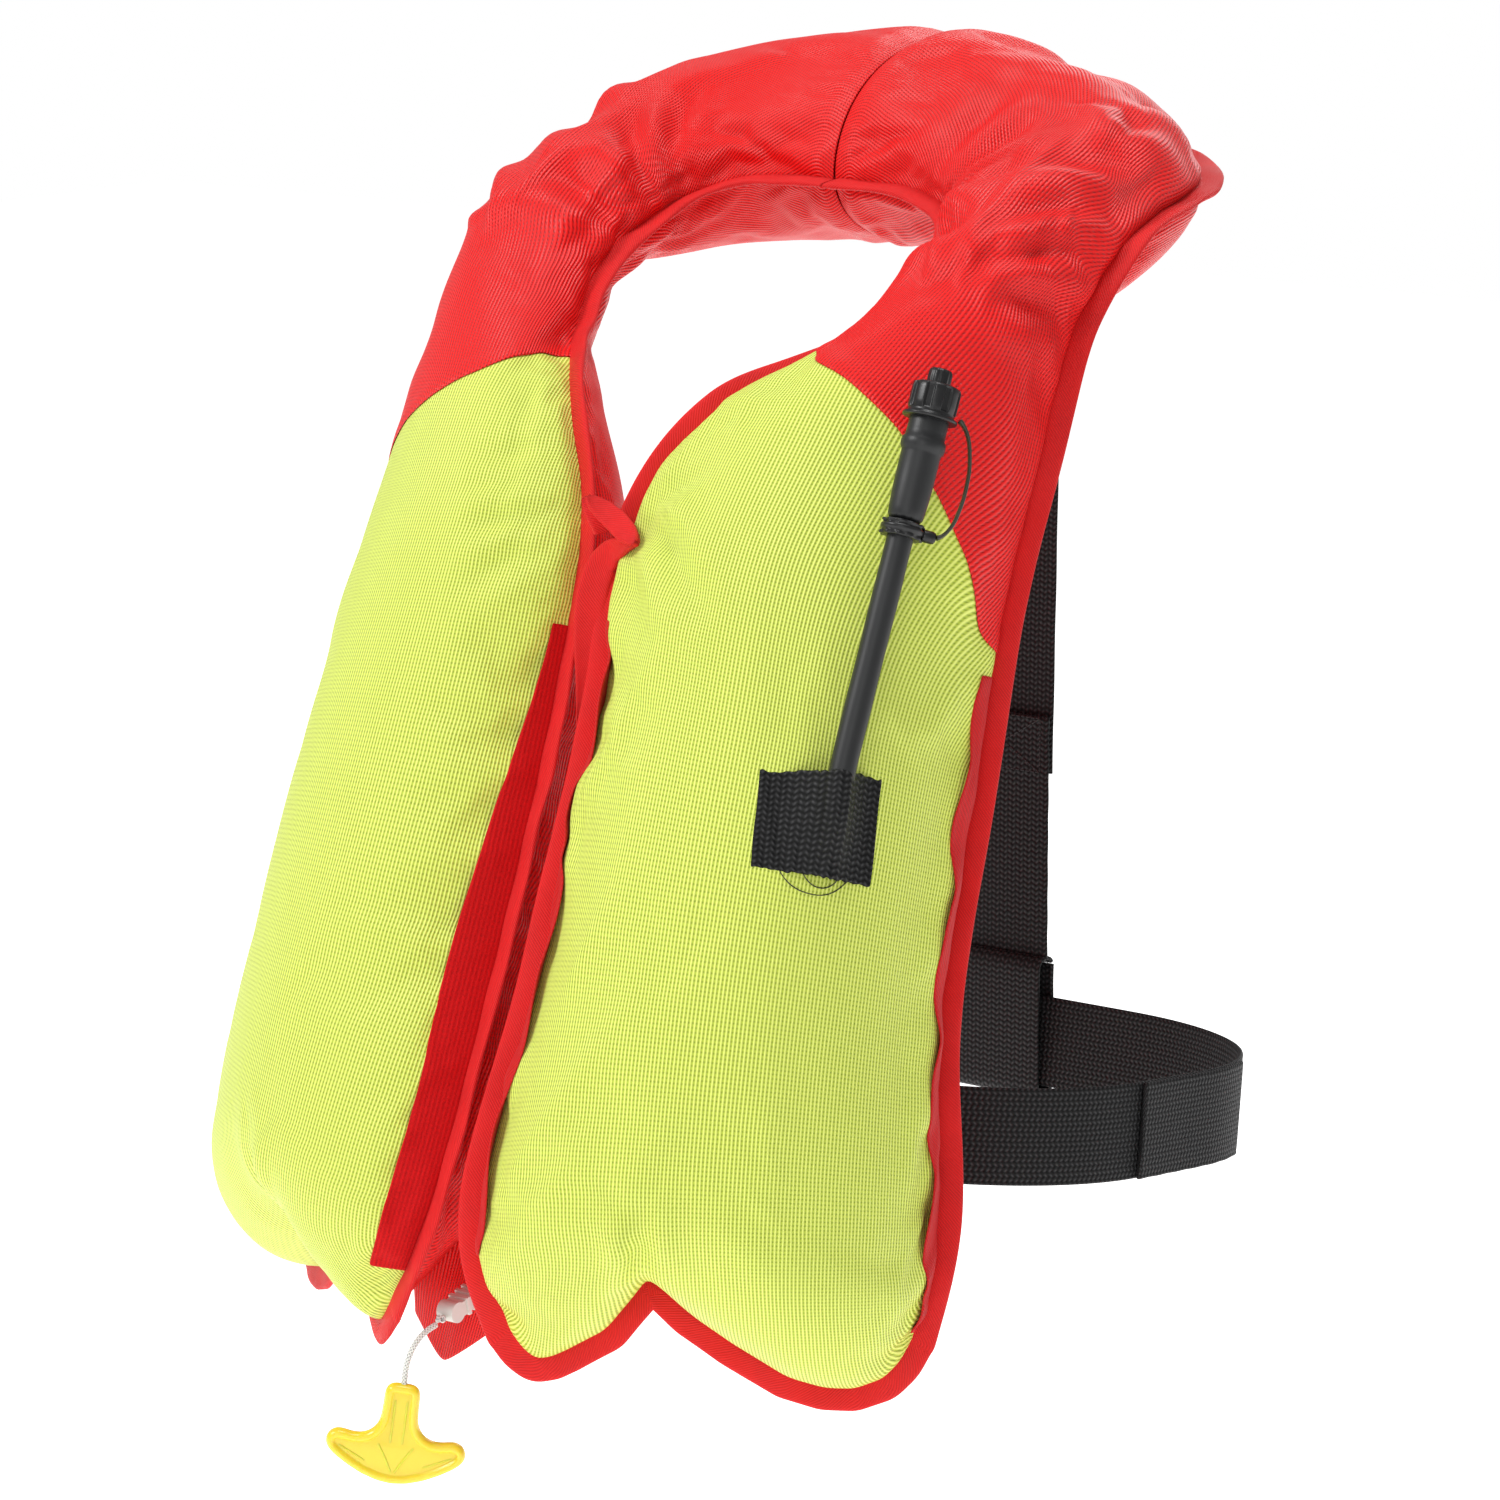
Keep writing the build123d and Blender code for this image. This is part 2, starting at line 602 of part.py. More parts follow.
def make_bladder_stem():
    """Stem and flange that join the unit to the cell."""
    plane = Plane(origin=tuple(stem_start), z_dir=tuple((stem_end - stem_start).normalized()))
    length = (stem_end - stem_start).length
    stem = Pos(0, 0, length / 2) * Cylinder(5.0, length)
    flange = Pos(0, 0, length - 1.6) * Cylinder(12.0, 2.0)
    nut = Pos(0, 0, length - 8.5) * extrude(RegularPolygon(8.0, 6), 5.0)
    nut -= Pos(0, 0, length - 6) * Cylinder(5.05, 12)
    body = nodes["inflator_body"]
    return plane * (stem + flange) - body, plane * nut - body


def make_indicator():
    """Small clip beside the body that shows whether the unit is armed."""
    return unit_plane * (Pos(15.2, 0, 8) * rounded_box(2.2, 7, 12, 0.9))


def make_cover_tail():
    """Fabric tail behind the gap, beside the lever."""
    return Pos(-28, -145, -386) * Rot(-14, 0, -20) * Box(22, 2.2, 34)


nodes["inflator_body"] = make_inflator_body()
bladder_stem, stem_nut = make_bladder_stem()
nodes["gas_cylinder"] = make_gas_cylinder()
nodes["firing_pin"] = make_firing_pin()
nodes["firing_spring"] = make_firing_spring()
nodes["lever"] = make_lever()
nodes["lever_pin"] = make_lever_pin()
nodes["bladder_stem"] = bladder_stem
nodes["stem_nut"] = stem_nut
nodes["indicator_clip"] = make_indicator()
nodes["cover_tail"] = make_cover_tail()


# ---------------------------------------------------------------- pull cord and handle

def corner_radii(route):
    """The largest arc at each corner: 0.45 of the shorter run over the tangent of half the turn."""
    radii = []
    for before, here, after in zip(route, route[1:], route[2:]):
        first = Vector(*here) - Vector(*before)
        second = Vector(*after) - Vector(*here)
        turn = math.radians(first.get_angle(second))
        radii.append(0.45 * min(first.length, second.length) / math.tan(turn / 2))
    return radii


def make_pull_cord():
    radii = corner_radii(CORD_ROUTE)
    path = FilletPolyline(*CORD_ROUTE, radius=radii)
    start = Plane(origin=CORD_ROUTE[0], z_dir=tuple(path % 0))
    tube = sweep(start * Circle(CORD_DIAMETER / 2), path=path)
    ideal = math.pi * CORD_DIAMETER**2 / 4 * path.length
    print("cord radii", [round(r, 1) for r in radii], "length", round(path.length, 1),
          "volume", round(tube.volume, 1), "section times length", round(ideal, 1))
    return tube


def make_handle():
    """Anchor-shaped pull: a stem and two swept arms, in the plane across HANDLE_ACROSS."""
    wide, tall = HANDLE_SIZE
    half = wide / 2
    stem = 7.2
    face_dir = Vector(*HANDLE_ACROSS).cross(Vector(0, 0, 1))
    plane = Plane(origin=HANDLE_TOP, x_dir=HANDLE_ACROSS, z_dir=tuple(face_dir))
    outline = Wire([
        Line((-stem + 2, 0), (stem - 2, 0)),
        ThreePointArc((stem - 2, 0), (stem - 0.6, -0.6), (stem, -2)),
        Line((stem, -2), (stem, -15)),
        ThreePointArc((stem, -15), (stem + 5, -22.5), (half - 4, -24)),
        ThreePointArc((half - 4, -24), (half, -27), (half - 1.5, -31)),
        ThreePointArc((half - 1.5, -31), (0, -tall), (-half + 1.5, -31)),
        ThreePointArc((-half + 1.5, -31), (-half, -27), (-half + 4, -24)),
        ThreePointArc((-half + 4, -24), (-stem - 5, -22.5), (-stem, -15)),
        Line((-stem, -15), (-stem, -2)),
        ThreePointArc((-stem, -2), (-stem + 0.6, -0.6), (-stem + 2, 0)),
    ])
    solid = extrude(Face(outline), HANDLE_THICK / 2, both=True)
    hole = Pos(0, -4.5, 0) * Cylinder(1.6, HANDLE_THICK + 2)
    return plane * (solid - hole)


def make_cord_knot():
    """Stopper knot where the cord is tied through the lever's tip."""
    towards = direction(LEVER_PIVOT, LEVER_TIP)
    centre = Vector(*LEVER_TIP) + towards * 6.9
    return Pos(*tuple(centre)) * Sphere(KNOT_RADIUS)


nodes["pull_cord"] = make_pull_cord()
nodes["cord_knot"] = make_cord_knot()
nodes["pull_handle"] = make_handle()


os.makedirs("parts", exist_ok=True)
for node, shape in nodes.items():
    export_step(shape, f"parts/{node}.step")
    print(node, round(shape.volume), shape.is_valid)
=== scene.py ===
import math
import bpy
import numpy as np
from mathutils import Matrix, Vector
from mathutils.bvhtree import BVHTree


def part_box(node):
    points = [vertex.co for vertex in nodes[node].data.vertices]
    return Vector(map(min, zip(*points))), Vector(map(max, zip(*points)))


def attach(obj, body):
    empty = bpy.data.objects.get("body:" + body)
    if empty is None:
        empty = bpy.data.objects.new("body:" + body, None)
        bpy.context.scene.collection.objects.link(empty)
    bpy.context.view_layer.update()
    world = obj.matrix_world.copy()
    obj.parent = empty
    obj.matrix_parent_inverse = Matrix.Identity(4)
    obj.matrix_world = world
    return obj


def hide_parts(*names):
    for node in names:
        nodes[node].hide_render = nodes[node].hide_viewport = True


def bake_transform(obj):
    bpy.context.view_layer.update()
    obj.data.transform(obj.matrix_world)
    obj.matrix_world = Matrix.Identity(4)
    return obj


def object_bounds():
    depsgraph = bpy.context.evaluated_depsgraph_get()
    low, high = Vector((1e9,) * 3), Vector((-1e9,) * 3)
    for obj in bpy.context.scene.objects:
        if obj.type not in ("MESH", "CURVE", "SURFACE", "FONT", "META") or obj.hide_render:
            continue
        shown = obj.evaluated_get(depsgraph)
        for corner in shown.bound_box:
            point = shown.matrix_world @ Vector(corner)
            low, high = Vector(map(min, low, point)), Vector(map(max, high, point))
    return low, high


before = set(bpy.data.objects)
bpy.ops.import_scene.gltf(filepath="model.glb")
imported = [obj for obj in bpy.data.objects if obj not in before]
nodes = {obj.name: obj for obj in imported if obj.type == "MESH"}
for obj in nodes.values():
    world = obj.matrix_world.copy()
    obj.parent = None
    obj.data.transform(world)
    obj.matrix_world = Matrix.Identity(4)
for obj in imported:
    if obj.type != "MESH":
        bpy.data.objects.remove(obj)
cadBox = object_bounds()
scene = bpy.context.scene
mm = 0.001
print("frame loaded,", len(nodes), "nodes")


# camera

cameraSet = {"azimuth": 37, "elevation": 12, "distance": 2.4, "target": (0, 0.020, -0.180), "lens": 139.4}


def makeCamera(s):
    a, e = math.radians(s["azimuth"]), math.radians(s["elevation"])
    back = Vector((math.sin(a) * math.cos(e), -math.cos(a) * math.cos(e), math.sin(e)))
    data = bpy.data.cameras.new("camera")
    data.lens, data.sensor_width = s["lens"], 36
    data.clip_end = 50
    cam = bpy.data.objects.new("camera", data)
    scene.collection.objects.link(cam)
    cam.location = Vector(s["target"]) + back * s["distance"]
    cam.rotation_mode = "QUATERNION"
    cam.rotation_quaternion = (-back).to_track_quat("-Z", "Y")
    scene.camera = cam


makeCamera(cameraSet)


# small maths helpers

def unit(v):
    v = np.asarray(v, float)
    return v / np.linalg.norm(v, axis=-1, keepdims=True)


def vec(*v):
    return np.array(v, float)


def smooth(x):  # 0 to 1 with level ends
    x = np.clip(x, 0, 1)
    return x * x * (3 - 2 * x)


def bell(x, wide):
    return np.exp(-(np.asarray(x) / wide) ** 2)


def blur(values, size, axis):  # gaussian blur along one axis, ends held
    reach = int(math.ceil(size * 3))
    if reach < 1:
        return values
    kernel = np.exp(-0.5 * (np.arange(-reach, reach + 1) / size) ** 2)
    kernel /= kernel.sum()
    pad = [(0, 0)] * values.ndim
    pad[axis] = (reach, reach)
    padded = np.pad(values, pad, mode="edge")
    return np.apply_along_axis(lambda row: np.convolve(row, kernel, mode="valid"), axis, padded)


def evenly(points, step):  # the same line with its points a step apart
    points = np.asarray(points, float)
    run = np.concatenate([[0], np.cumsum(np.linalg.norm(np.diff(points, axis=0), axis=1))])
    count = max(2, int(round(run[-1] / step)) + 1)
    at = np.linspace(0, run[-1], count)
    return np.stack([np.interp(at, run, points[:, k]) for k in range(points.shape[1])], 1)


def throughRows(rows, t):  # smooth curve through keyed rows
    keys, values = rows[:, 0], rows[:, 1:]
    gap = np.diff(keys)[:, None]
    rise = np.diff(values, axis=0) / gap
    slope = np.empty_like(values)
    slope[0], slope[-1] = rise[0], rise[-1]
    slope[1:-1] = (rise[1:] * gap[:-1] + rise[:-1] * gap[1:]) / (gap[:-1] + gap[1:])
    i = np.clip(np.searchsorted(keys, t, side="right") - 1, 0, len(keys) - 2)
    span = (keys[i + 1] - keys[i])[..., None]
    s = ((t - keys[i]) / span[..., 0])[..., None]
    return (values[i] * (2 * s**3 - 3 * s**2 + 1) + slope[i] * span * (s**3 - 2 * s**2 + s)
            + values[i + 1] * (3 * s**2 - 2 * s**3) + slope[i + 1] * span * (s**3 - s**2))


# meshes

def meshPiece(name, points, faces, uvs=None, smoothShade=True):
    mesh = bpy.data.meshes.new(name)
    mesh.from_pydata([tuple(p) for p in np.asarray(points, float).reshape(-1, 3)], [], faces)
    if uvs is not None:
        layer = mesh.uv_layers.new(name="cloth")
        loops = np.empty(len(mesh.loops), int)
        mesh.loops.foreach_get("vertex_index", loops)
        layer.data.foreach_set("uv", np.asarray(uvs, float).reshape(-1, 2)[loops].ravel())
    mesh.polygons.foreach_set("use_smooth", [smoothShade] * len(mesh.polygons))
    mesh.validate()
    mesh.update()
    piece = bpy.data.objects.new(name, mesh)
    scene.collection.objects.link(piece)
    return piece


def gridFaces(rows, columns, start=0, wrapColumns=False):
    faces = []
    last = columns if wrapColumns else columns - 1
    for r in range(rows - 1):
        for c in range(last):
            a, b = start + r * columns + c, start + r * columns + (c + 1) % columns
            faces.append((a, b, b + columns, a + columns))
    return faces


def gridPiece(name, points, uvs, flip=False):
    rows, columns = points.shape[:2]
    faces = gridFaces(rows, columns)
    if flip:
        faces = [f[::-1] for f in faces]
    return meshPiece(name, points, faces, uvs)


def sweepPiece(name, path, sideways, upward, profile, capped=True, closed=False):
    path, sideways, upward = (np.asarray(x, float) for x in (path, sideways, upward))
    profile = np.asarray(profile, float)
    if profile.ndim == 2:
        profile = np.broadcast_to(profile, (len(path),) + profile.shape)
    count = profile.shape[1]
    points = (path[:, None] + sideways[:, None] * profile[..., :1] + upward[:, None] * profile[..., 1:])
    run = np.concatenate([[0], np.cumsum(np.linalg.norm(np.diff(path, axis=0), axis=1))])
    first = profile[len(path) // 2]
    around = np.concatenate([[0], np.cumsum(np.linalg.norm(np.diff(first, axis=0), axis=1))])
    uvs = np.stack(np.broadcast_arrays(around[None, :], run[:, None]), -1)
    faces = gridFaces(len(path), count, wrapColumns=True)
    if closed:
        end = (len(path) - 1) * count
        faces += [(end + c, end + (c + 1) % count, (c + 1) % count, c) for c in range(count)]
    elif capped:
        end = (len(path) - 1) * count
        faces.append(tuple(reversed(range(count))))
        faces.append(tuple(end + k for k in range(count)))
    return meshPiece(name, points.reshape(-1, 3), faces, uvs.reshape(-1, 2))


def modifier(piece, kind, **settings):
    m = piece.modifiers.new(kind.lower(), kind)
    for key, value in settings.items():
        setattr(m, key, value)
    return piece


def paint(piece, material):
    piece.data.materials.clear()
    piece.data.materials.append(material)
    return piece


# materials

def srgb(r, g, b):  # screen colour to the shader's linear one
    return tuple(c / 12.92 if c <= 0.04045 else ((c + 0.055) / 1.055) ** 2.4 for c in (r, g, b)) + (1,)


class Finish:  # one material, with short calls that add and join its nodes
    def __init__(self, name, **sockets):
        self.material = bpy.data.materials.new(name)
        self.material.use_nodes = True
        self.tree = self.material.node_tree
        self.shader = self.tree.nodes["Principled BSDF"]
        for key, value in sockets.items():
            self.shader.inputs[key.replace("_", " ")].default_value = value

    def add(self, kind, *values, **settings):
        node = self.tree.nodes.new("ShaderNode" + kind)
        for key, value in settings.items():
            setattr(node, key, value)
        for k, value in enumerate(values):
            if isinstance(value, bpy.types.NodeSocket):
                self.tree.links.new(value, node.inputs[k])
            elif value is not None:
                node.inputs[k].default_value = value
        return node.outputs[0]

    def sums(self, operation, *values):
        return self.add("Math", *values, operation=operation)

    def to(self, socket, output):
        self.tree.links.new(output, self.shader.inputs[socket])

    def clothUv(self):  # metres across and along the piece
        node = self.tree.nodes.new("ShaderNodeUVMap")
        node.uv_map = "cloth"
        split = self.tree.nodes.new("ShaderNodeSeparateXYZ")
        self.tree.links.new(node.outputs[0], split.inputs[0])
        return node.outputs[0], split.outputs[0], split.outputs[1]

    def place(self):
        return self.tree.nodes.new("ShaderNodeTexCoord").outputs["Object"]

    def cloud(self, where, scale, detail=3, rough=0.5):
        node = self.tree.nodes.new("ShaderNodeTexNoise")
        self.tree.links.new(where, node.inputs["Vector"])
        node.inputs["Scale"].default_value = scale
        node.inputs["Detail"].default_value = detail
        node.inputs["Roughness"].default_value = rough
        return node.outputs["Fac"]

    def wave(self, metres, pitch, shift=0.0):  # 0 to 1 ripple along one coordinate
        turned = self.sums("MULTIPLY_ADD", metres, 2 * math.pi / pitch, shift)
        return self.sums("MULTIPLY_ADD", self.sums("SINE", turned), 0.5, 0.5)

    def between(self, low, high, share):
        node = self.tree.nodes.new("ShaderNodeMix")
        node.data_type = "RGBA"
        node.inputs[6].default_value, node.inputs[7].default_value = low, high
        self.tree.links.new(share, node.inputs[0])
        return node.outputs[2]

    def tint(self, colour, other, share):
        node = self.tree.nodes.new("ShaderNodeMix")
        node.data_type = "RGBA"
        self.tree.links.new(colour, node.inputs[6])
        node.inputs[7].default_value = other
        self.tree.links.new(share, node.inputs[0])
        return node.outputs[2]

    def scaled(self, value, low, high):
        return self.add("MapRange", value, 0.0, 1.0, low, high)

    def bump(self, *heights):  # each a height from 0 to 1 and its depth in metres
        normal = None
        for height, depth in heights:
            node = self.tree.nodes.new("ShaderNodeBump")
            node.inputs["Distance"].default_value = depth
            self.tree.links.new(height, node.inputs["Height"])
            if normal:
                self.tree.links.new(normal, node.inputs["Normal"])
            normal = node.outputs[0]
        self.to("Normal", normal)


# ribbed coated cloth of the lobes: rows of small pricks between raised cords; the cords are painted lighter
# and the grooves and pricks darker, painted light and shade of the relief
ribbedSet = {"pitch": 1.55 * mm, "prick": 1.2 * mm, "depth": 0.22 * mm, "patch": 9.0}


def ribbedCloth(name, light, dark, deep, rough, sheen, lean=0.0):
    f = Finish(name, Sheen_Weight=sheen, Sheen_Roughness=0.35, Specular_IOR_Level=0.35)
    uv, across, along = f.clothUv()
    leaned = f.sums("MULTIPLY_ADD", along, lean, across)
    rib = f.wave(leaned, ribbedSet["pitch"])
    prick = f.wave(along, ribbedSet["prick"])
    hole = f.sums("MULTIPLY", f.sums("SUBTRACT", 1.0, rib), prick)
    hole = f.sums("POWER", hole, 2.0)
    patch = f.cloud(f.place(), ribbedSet["patch"], 3)
    thread = f.cloud(uv, 900.0, 2)
    # painted light and shade: the raised cords take the light colour and the grooves the dark one, with some
    # random thread tone
    colour = f.between(dark, light, f.sums("MULTIPLY_ADD", thread, 0.2, f.sums("MULTIPLY", rib, 0.9)))
    # painted shade in the pricks: they are tinted with the deep colour
    colour = f.tint(colour, deep, f.sums("MULTIPLY", hole, 0.75))
    colour = f.tint(colour, light, f.sums("MULTIPLY", patch, 0.12))
    f.to("Base Color", colour)
    f.to("Roughness", f.scaled(patch, rough - 0.05, rough + 0.08))
    f.bump((rib, ribbedSet["depth"]), (hole, -0.12 * mm), (thread, 0.05 * mm))
    return f.material


# light, dark and deep are each cloth's lit cord colour, shaded groove colour and shaded prick colour
limeCloth = ribbedCloth("limeCloth", srgb(0.94, 0.98, 0.50), srgb(0.66, 0.74, 0.12), srgb(0.42, 0.52, 0.03),
                        0.45, 0.06)
redCloth = ribbedCloth("redCloth", srgb(0.98, 0.11, 0.10), srgb(0.80, 0.01, 0.03), srgb(0.50, 0.00, 0.01),
                       0.36, 0.02, 0.25)

# woven binding: fine diagonal twill, with a stitch row near its inner edge; its twill ridges are painted
# lighter than the grooves and the sunk stitch row is painted dark between the stitches, painted shade
bindingSet = {"pitch": 1.35 * mm, "stitch": 3.2 * mm, "row": 1.9 * mm}


def twillTape(name, light, dark, stitch, stitched=True):
    f = Finish(name, Sheen_Weight=0.04, Sheen_Roughness=0.4, Specular_IOR_Level=0.3)
    uv, across, along = f.clothUv()
    slant = f.sums("ADD", across, along)
    twill = f.wave(slant, bindingSet["pitch"])
    weft = f.wave(f.sums("SUBTRACT", along, across), bindingSet["pitch"] * 0.5)
    cloud = f.cloud(uv, 60.0, 3)
    # twill ridges lighter and grooves darker: partly painted shade of the weave, partly random tone from the
    # cloud
    colour = f.between(dark, light, f.scaled(f.sums("ADD", f.sums("MULTIPLY", twill, 0.7), cloud), 0.1, 0.8))
    heights = [(twill, 0.14 * mm), (weft, 0.05 * mm)]
    if stitched:
        off = f.sums("ABSOLUTE", f.sums("SUBTRACT", across, bindingSet["row"]))
        row = f.sums("LESS_THAN", off, 0.42 * mm)
        dash = f.sums("GREATER_THAN", f.wave(along, bindingSet["stitch"]), 0.22)
        thread = f.sums("MULTIPLY", row, dash)
        gap = f.sums("SUBTRACT", row, thread)
        colour = f.tint(colour, stitch, f.sums("MULTIPLY", thread, 0.7))
        # painted shade: the sunk stitch row between the stitches is tinted dark red
        colour = f.tint(colour, srgb(0.45, 0.02, 0.03), f.sums("MULTIPLY", gap, 0.8))
        heights += [(row, -0.25 * mm), (thread, 0.3 * mm)]
    f.to("Base Color", colour)
    f.to("Roughness", f.scaled(cloud, 0.5, 0.68))
    f.bump(*heights)
    return f.material


# for each tape: the lit twill ridge colour, the shaded groove colour (painted shade) and the stitch thread
# colour
bindingReds = (srgb(0.93, 0.10, 0.10), srgb(0.66, 0.01, 0.03), srgb(0.96, 0.34, 0.30))
redBinding = twillTape("redBinding", *bindingReds)
foldTwill = twillTape("foldTwill", *bindingReds, stitched=False)
redTape = twillTape("redTape", srgb(0.84, 0.05, 0.07), srgb(0.62, 0.01, 0.03), srgb(0.9, 0.2, 0.2), False)


def loopTape():  # fuzzy loop face of the closure
    f = Finish("loopTape", Sheen_Weight=0.12, Sheen_Roughness=0.3, Specular_IOR_Level=0.2)
    uv, across, _ = f.clothUv()
    fuzz = f.cloud(uv, 1400.0, 3, 0.7)
    rows = f.wave(across, 1.6 * mm)
    both = f.sums("MULTIPLY_ADD", rows, 0.3, fuzz)
    f.to("Base Color", f.between(srgb(0.58, 0.00, 0.02), srgb(0.88, 0.06, 0.08), f.scaled(both, -0.1, 1.0)))
    f.to("Roughness", f.scaled(fuzz, 0.7, 0.9))
    f.bump((fuzz, 0.4 * mm), (rows, 0.12 * mm))
    return f.material


redLoop = loopTape()


# black webbing: two-row chevron weave with a plain selvedge, its raised weave painted with light grey
# highlights on a near-black colour
webbingSet = {"pitch": 2.1 * mm, "row": 2.4 * mm}


# light is the painted highlight grey on the weave tops, dark the webbing's own near-black
def blackWebbing(name, light=0.25, dark=0.008):
    f = Finish(name, Specular_IOR_Level=0.18)
    uv, across, along = f.clothUv()
    fold = f.sums("PINGPONG", across, webbingSet["pitch"])
    chevron = f.wave(f.sums("ADD", along, f.sums("MULTIPLY", fold, 0.55)), webbingSet["row"])
    groove = f.wave(across, webbingSet["pitch"])
    weave = f.sums("MULTIPLY", chevron, f.scaled(groove, 0.35, 1.0))
    fuzz = f.cloud(uv, 700.0, 2)
    # painted highlight: the weave's raised tops take the light grey, the rest stays near black
    share = f.sums("MULTIPLY_ADD", fuzz, 0.15, f.sums("MULTIPLY", f.sums("POWER", weave, 1.8), 0.85))
    f.to("Base Color", f.between(srgb(dark, dark, dark), srgb(light, light, light * 1.02), share))
    f.to("Roughness", f.scaled(weave, 0.62, 0.42))
    f.bump((groove, 0.2 * mm), (chevron, 0.28 * mm), (fuzz, 0.06 * mm))
    return f.material


webbing = blackWebbing("webbing")


def moulded(name, low, high, rough, depth=0.02 * mm, scale=260.0, **sockets):
    f = Finish(name, **sockets)
    where = f.place()
    grain = f.cloud(where, scale * 10, 2)
    cloud = f.cloud(where, scale / 6, 3)
    f.to("Base Color", f.between(low, high, cloud))
    f.to("Roughness", f.scaled(cloud, rough - 0.06, rough + 0.08))
    f.bump((grain, depth))
    return f.material


blackRubber = moulded("blackRubber", srgb(0.085, 0.087, 0.09), srgb(0.15, 0.155, 0.16), 0.44, 0.03 * mm)
oliveRubber = moulded("oliveRubber", srgb(0.14, 0.15, 0.11), srgb(0.25, 0.26, 0.20), 0.38, 0.03 * mm)
blackPlastic = moulded("blackPlastic", srgb(0.05, 0.05, 0.055), srgb(0.10, 0.10, 0.105), 0.36)
greyPlastic = moulded("greyPlastic", srgb(0.80, 0.80, 0.77), srgb(0.88, 0.87, 0.84), 0.4)
greenPlastic = moulded("greenPlastic", srgb(0.05, 0.45, 0.16), srgb(0.09, 0.56, 0.22), 0.35)
yellowPlastic = moulded("yellowPlastic", srgb(0.93, 0.83, 0.16), srgb(0.97, 0.89, 0.26), 0.26, 0.02 * mm,
                        120.0, Subsurface_Weight=0.35, Subsurface_Scale=0.004, Coat_Weight=0.3,
                        Coat_Roughness=0.15)
brushedSteel = moulded("brushedSteel", srgb(0.60, 0.61, 0.62), srgb(0.74, 0.75, 0.76), 0.3, 0.01 * mm,
                       Metallic=1.0)
stemRubber = moulded("stemRubber", srgb(0.10, 0.10, 0.10), srgb(0.17, 0.17, 0.17), 0.5)


def braidedCord():
    f = Finish("braidedCord", Sheen_Weight=0.2)
    _, across, along = f.clothUv()
    one = f.wave(f.sums("ADD", along, across), 1.5 * mm)
    two = f.wave(f.sums("SUBTRACT", along, across), 1.5 * mm)
    braid = f.sums("MAXIMUM", one, two)
    # painted shade: the grooves between the braid's strands are grey, the strands' tops white
    f.to("Base Color", f.between(srgb(0.62, 0.62, 0.60), srgb(0.95, 0.95, 0.93), braid))
    f.to("Roughness", f.scaled(braid, 0.8, 0.6))
    f.bump((braid, 0.3 * mm))
    return f.material


whiteBraid = braidedCord()
print("finishes made")


# the inflated cell: two mirrored halves, each a front and a back sheet sewn together inside a bound edge

cellSet = {
    "columns": 56, "yokeRows": 68, "panelRows": 80, "endRows": 12,
    "flange": 10.5 * mm, "halfGap": 0.3 * mm, "endRound": 0.10,
}
# station, inner edge, outer edge, front swell, back swell, in millimetres
stationRows = np.array([
    (-0.10, -41, 68, 47, -84, 201, 62, 43, 34.4),
    (0.00, 0, 68, 49, 0, 220, 68, 47, 37.6),
    (0.10, 41, 68, 47, 84, 201, 62, 43, 34.4),
    (0.20, 67, 54, 34, 143, 149, 54, 38, 30.4),
    (0.28, 71, 23, 16, 160, 75, 41, 35, 28),
    (0.36, 59, -12, -9, 157, 42, 12, 32, 24),
    (0.45, 29, -53, -26, 155, 17, -46, 38, 30.4),
    (0.55, 5, -75, -70, 154, -6, -105, 52, 41.6),
    (0.66, 3, -96, -141, 155, -27, -174, 62, 49.6),
    (0.78, 3, -136, -243, 158, -53, -261, 66, 52.8),
    (0.90, 4, -176, -332, 170, -69, -335, 61, 42),
    (1.00, 24, -181, -380, 164, -79, -384, 56, 31),
    (1.08, 40, -176, -414, 157, -86, -418, 54, 28),
])
stationRows[:, 1:] *= mm
# sewn end of a lobe: share of the way from inner to outer seam, station
endRows = np.array([
    (0.0, 0.984), (0.012, 1.000), (0.04, 1.010), (0.08, 1.008), (0.13, 1.001), (0.24, 0.983), (0.33, 0.952),
    (0.362, 0.937), (0.395, 0.945), (0.46, 0.968), (0.56, 0.992), (0.70, 1.019), (0.80, 1.028), (0.88, 1.029),
    (0.95, 1.020), (0.985, 1.004), (1.0, 0.982),
])
# where the red yoke meets the ribbed panel on each lobe
yokeRows = {
    1: np.array([(0.0, 0.372), (0.15, 0.406), (0.34, 0.424), (0.60, 0.453), (0.80, 0.489), (0.94, 0.53),
                 (1.0, 0.585)]),
    -1: np.array([(0.0, 0.397), (0.08, 0.425), (0.17, 0.443), (0.36, 0.462), (0.56, 0.481), (0.8, 0.505),
                  (1.0, 0.545)]),
}
runScale = 0.50  # metres of lobe per station


def sectionAt(t):
    values = throughRows(stationRows, t)
    inner, outer = values[..., 0:3], values[..., 3:6]
    ahead, behind = throughRows(stationRows, t + 0.01), throughRows(stationRows, t - 0.01)
    run = (ahead - behind)[..., 0:3] + (ahead - behind)[..., 3:6]
    along = unit(outer - inner)
    out = unit(np.cross(along, run))
    facing = np.sign(out @ vec(0, -1, 0.3))[..., None]
    return inner, along, out * facing, np.linalg.norm(outer - inner, axis=-1), values[..., 6], values[..., 7]


def endStation(share):
    fine = np.linspace(0, 1, 1201)
    line = blur(np.interp(fine, endRows[:, 0], endRows[:, 1]), 7, 0)
    return np.interp(share, fine, line)


def yokeStation(side, share):
    fine = np.linspace(0, 1, 401)
    line = blur(np.interp(fine, yokeRows[side][:, 0], yokeRows[side][:, 1]), 14, 0)
    return np.interp(share, fine, line)


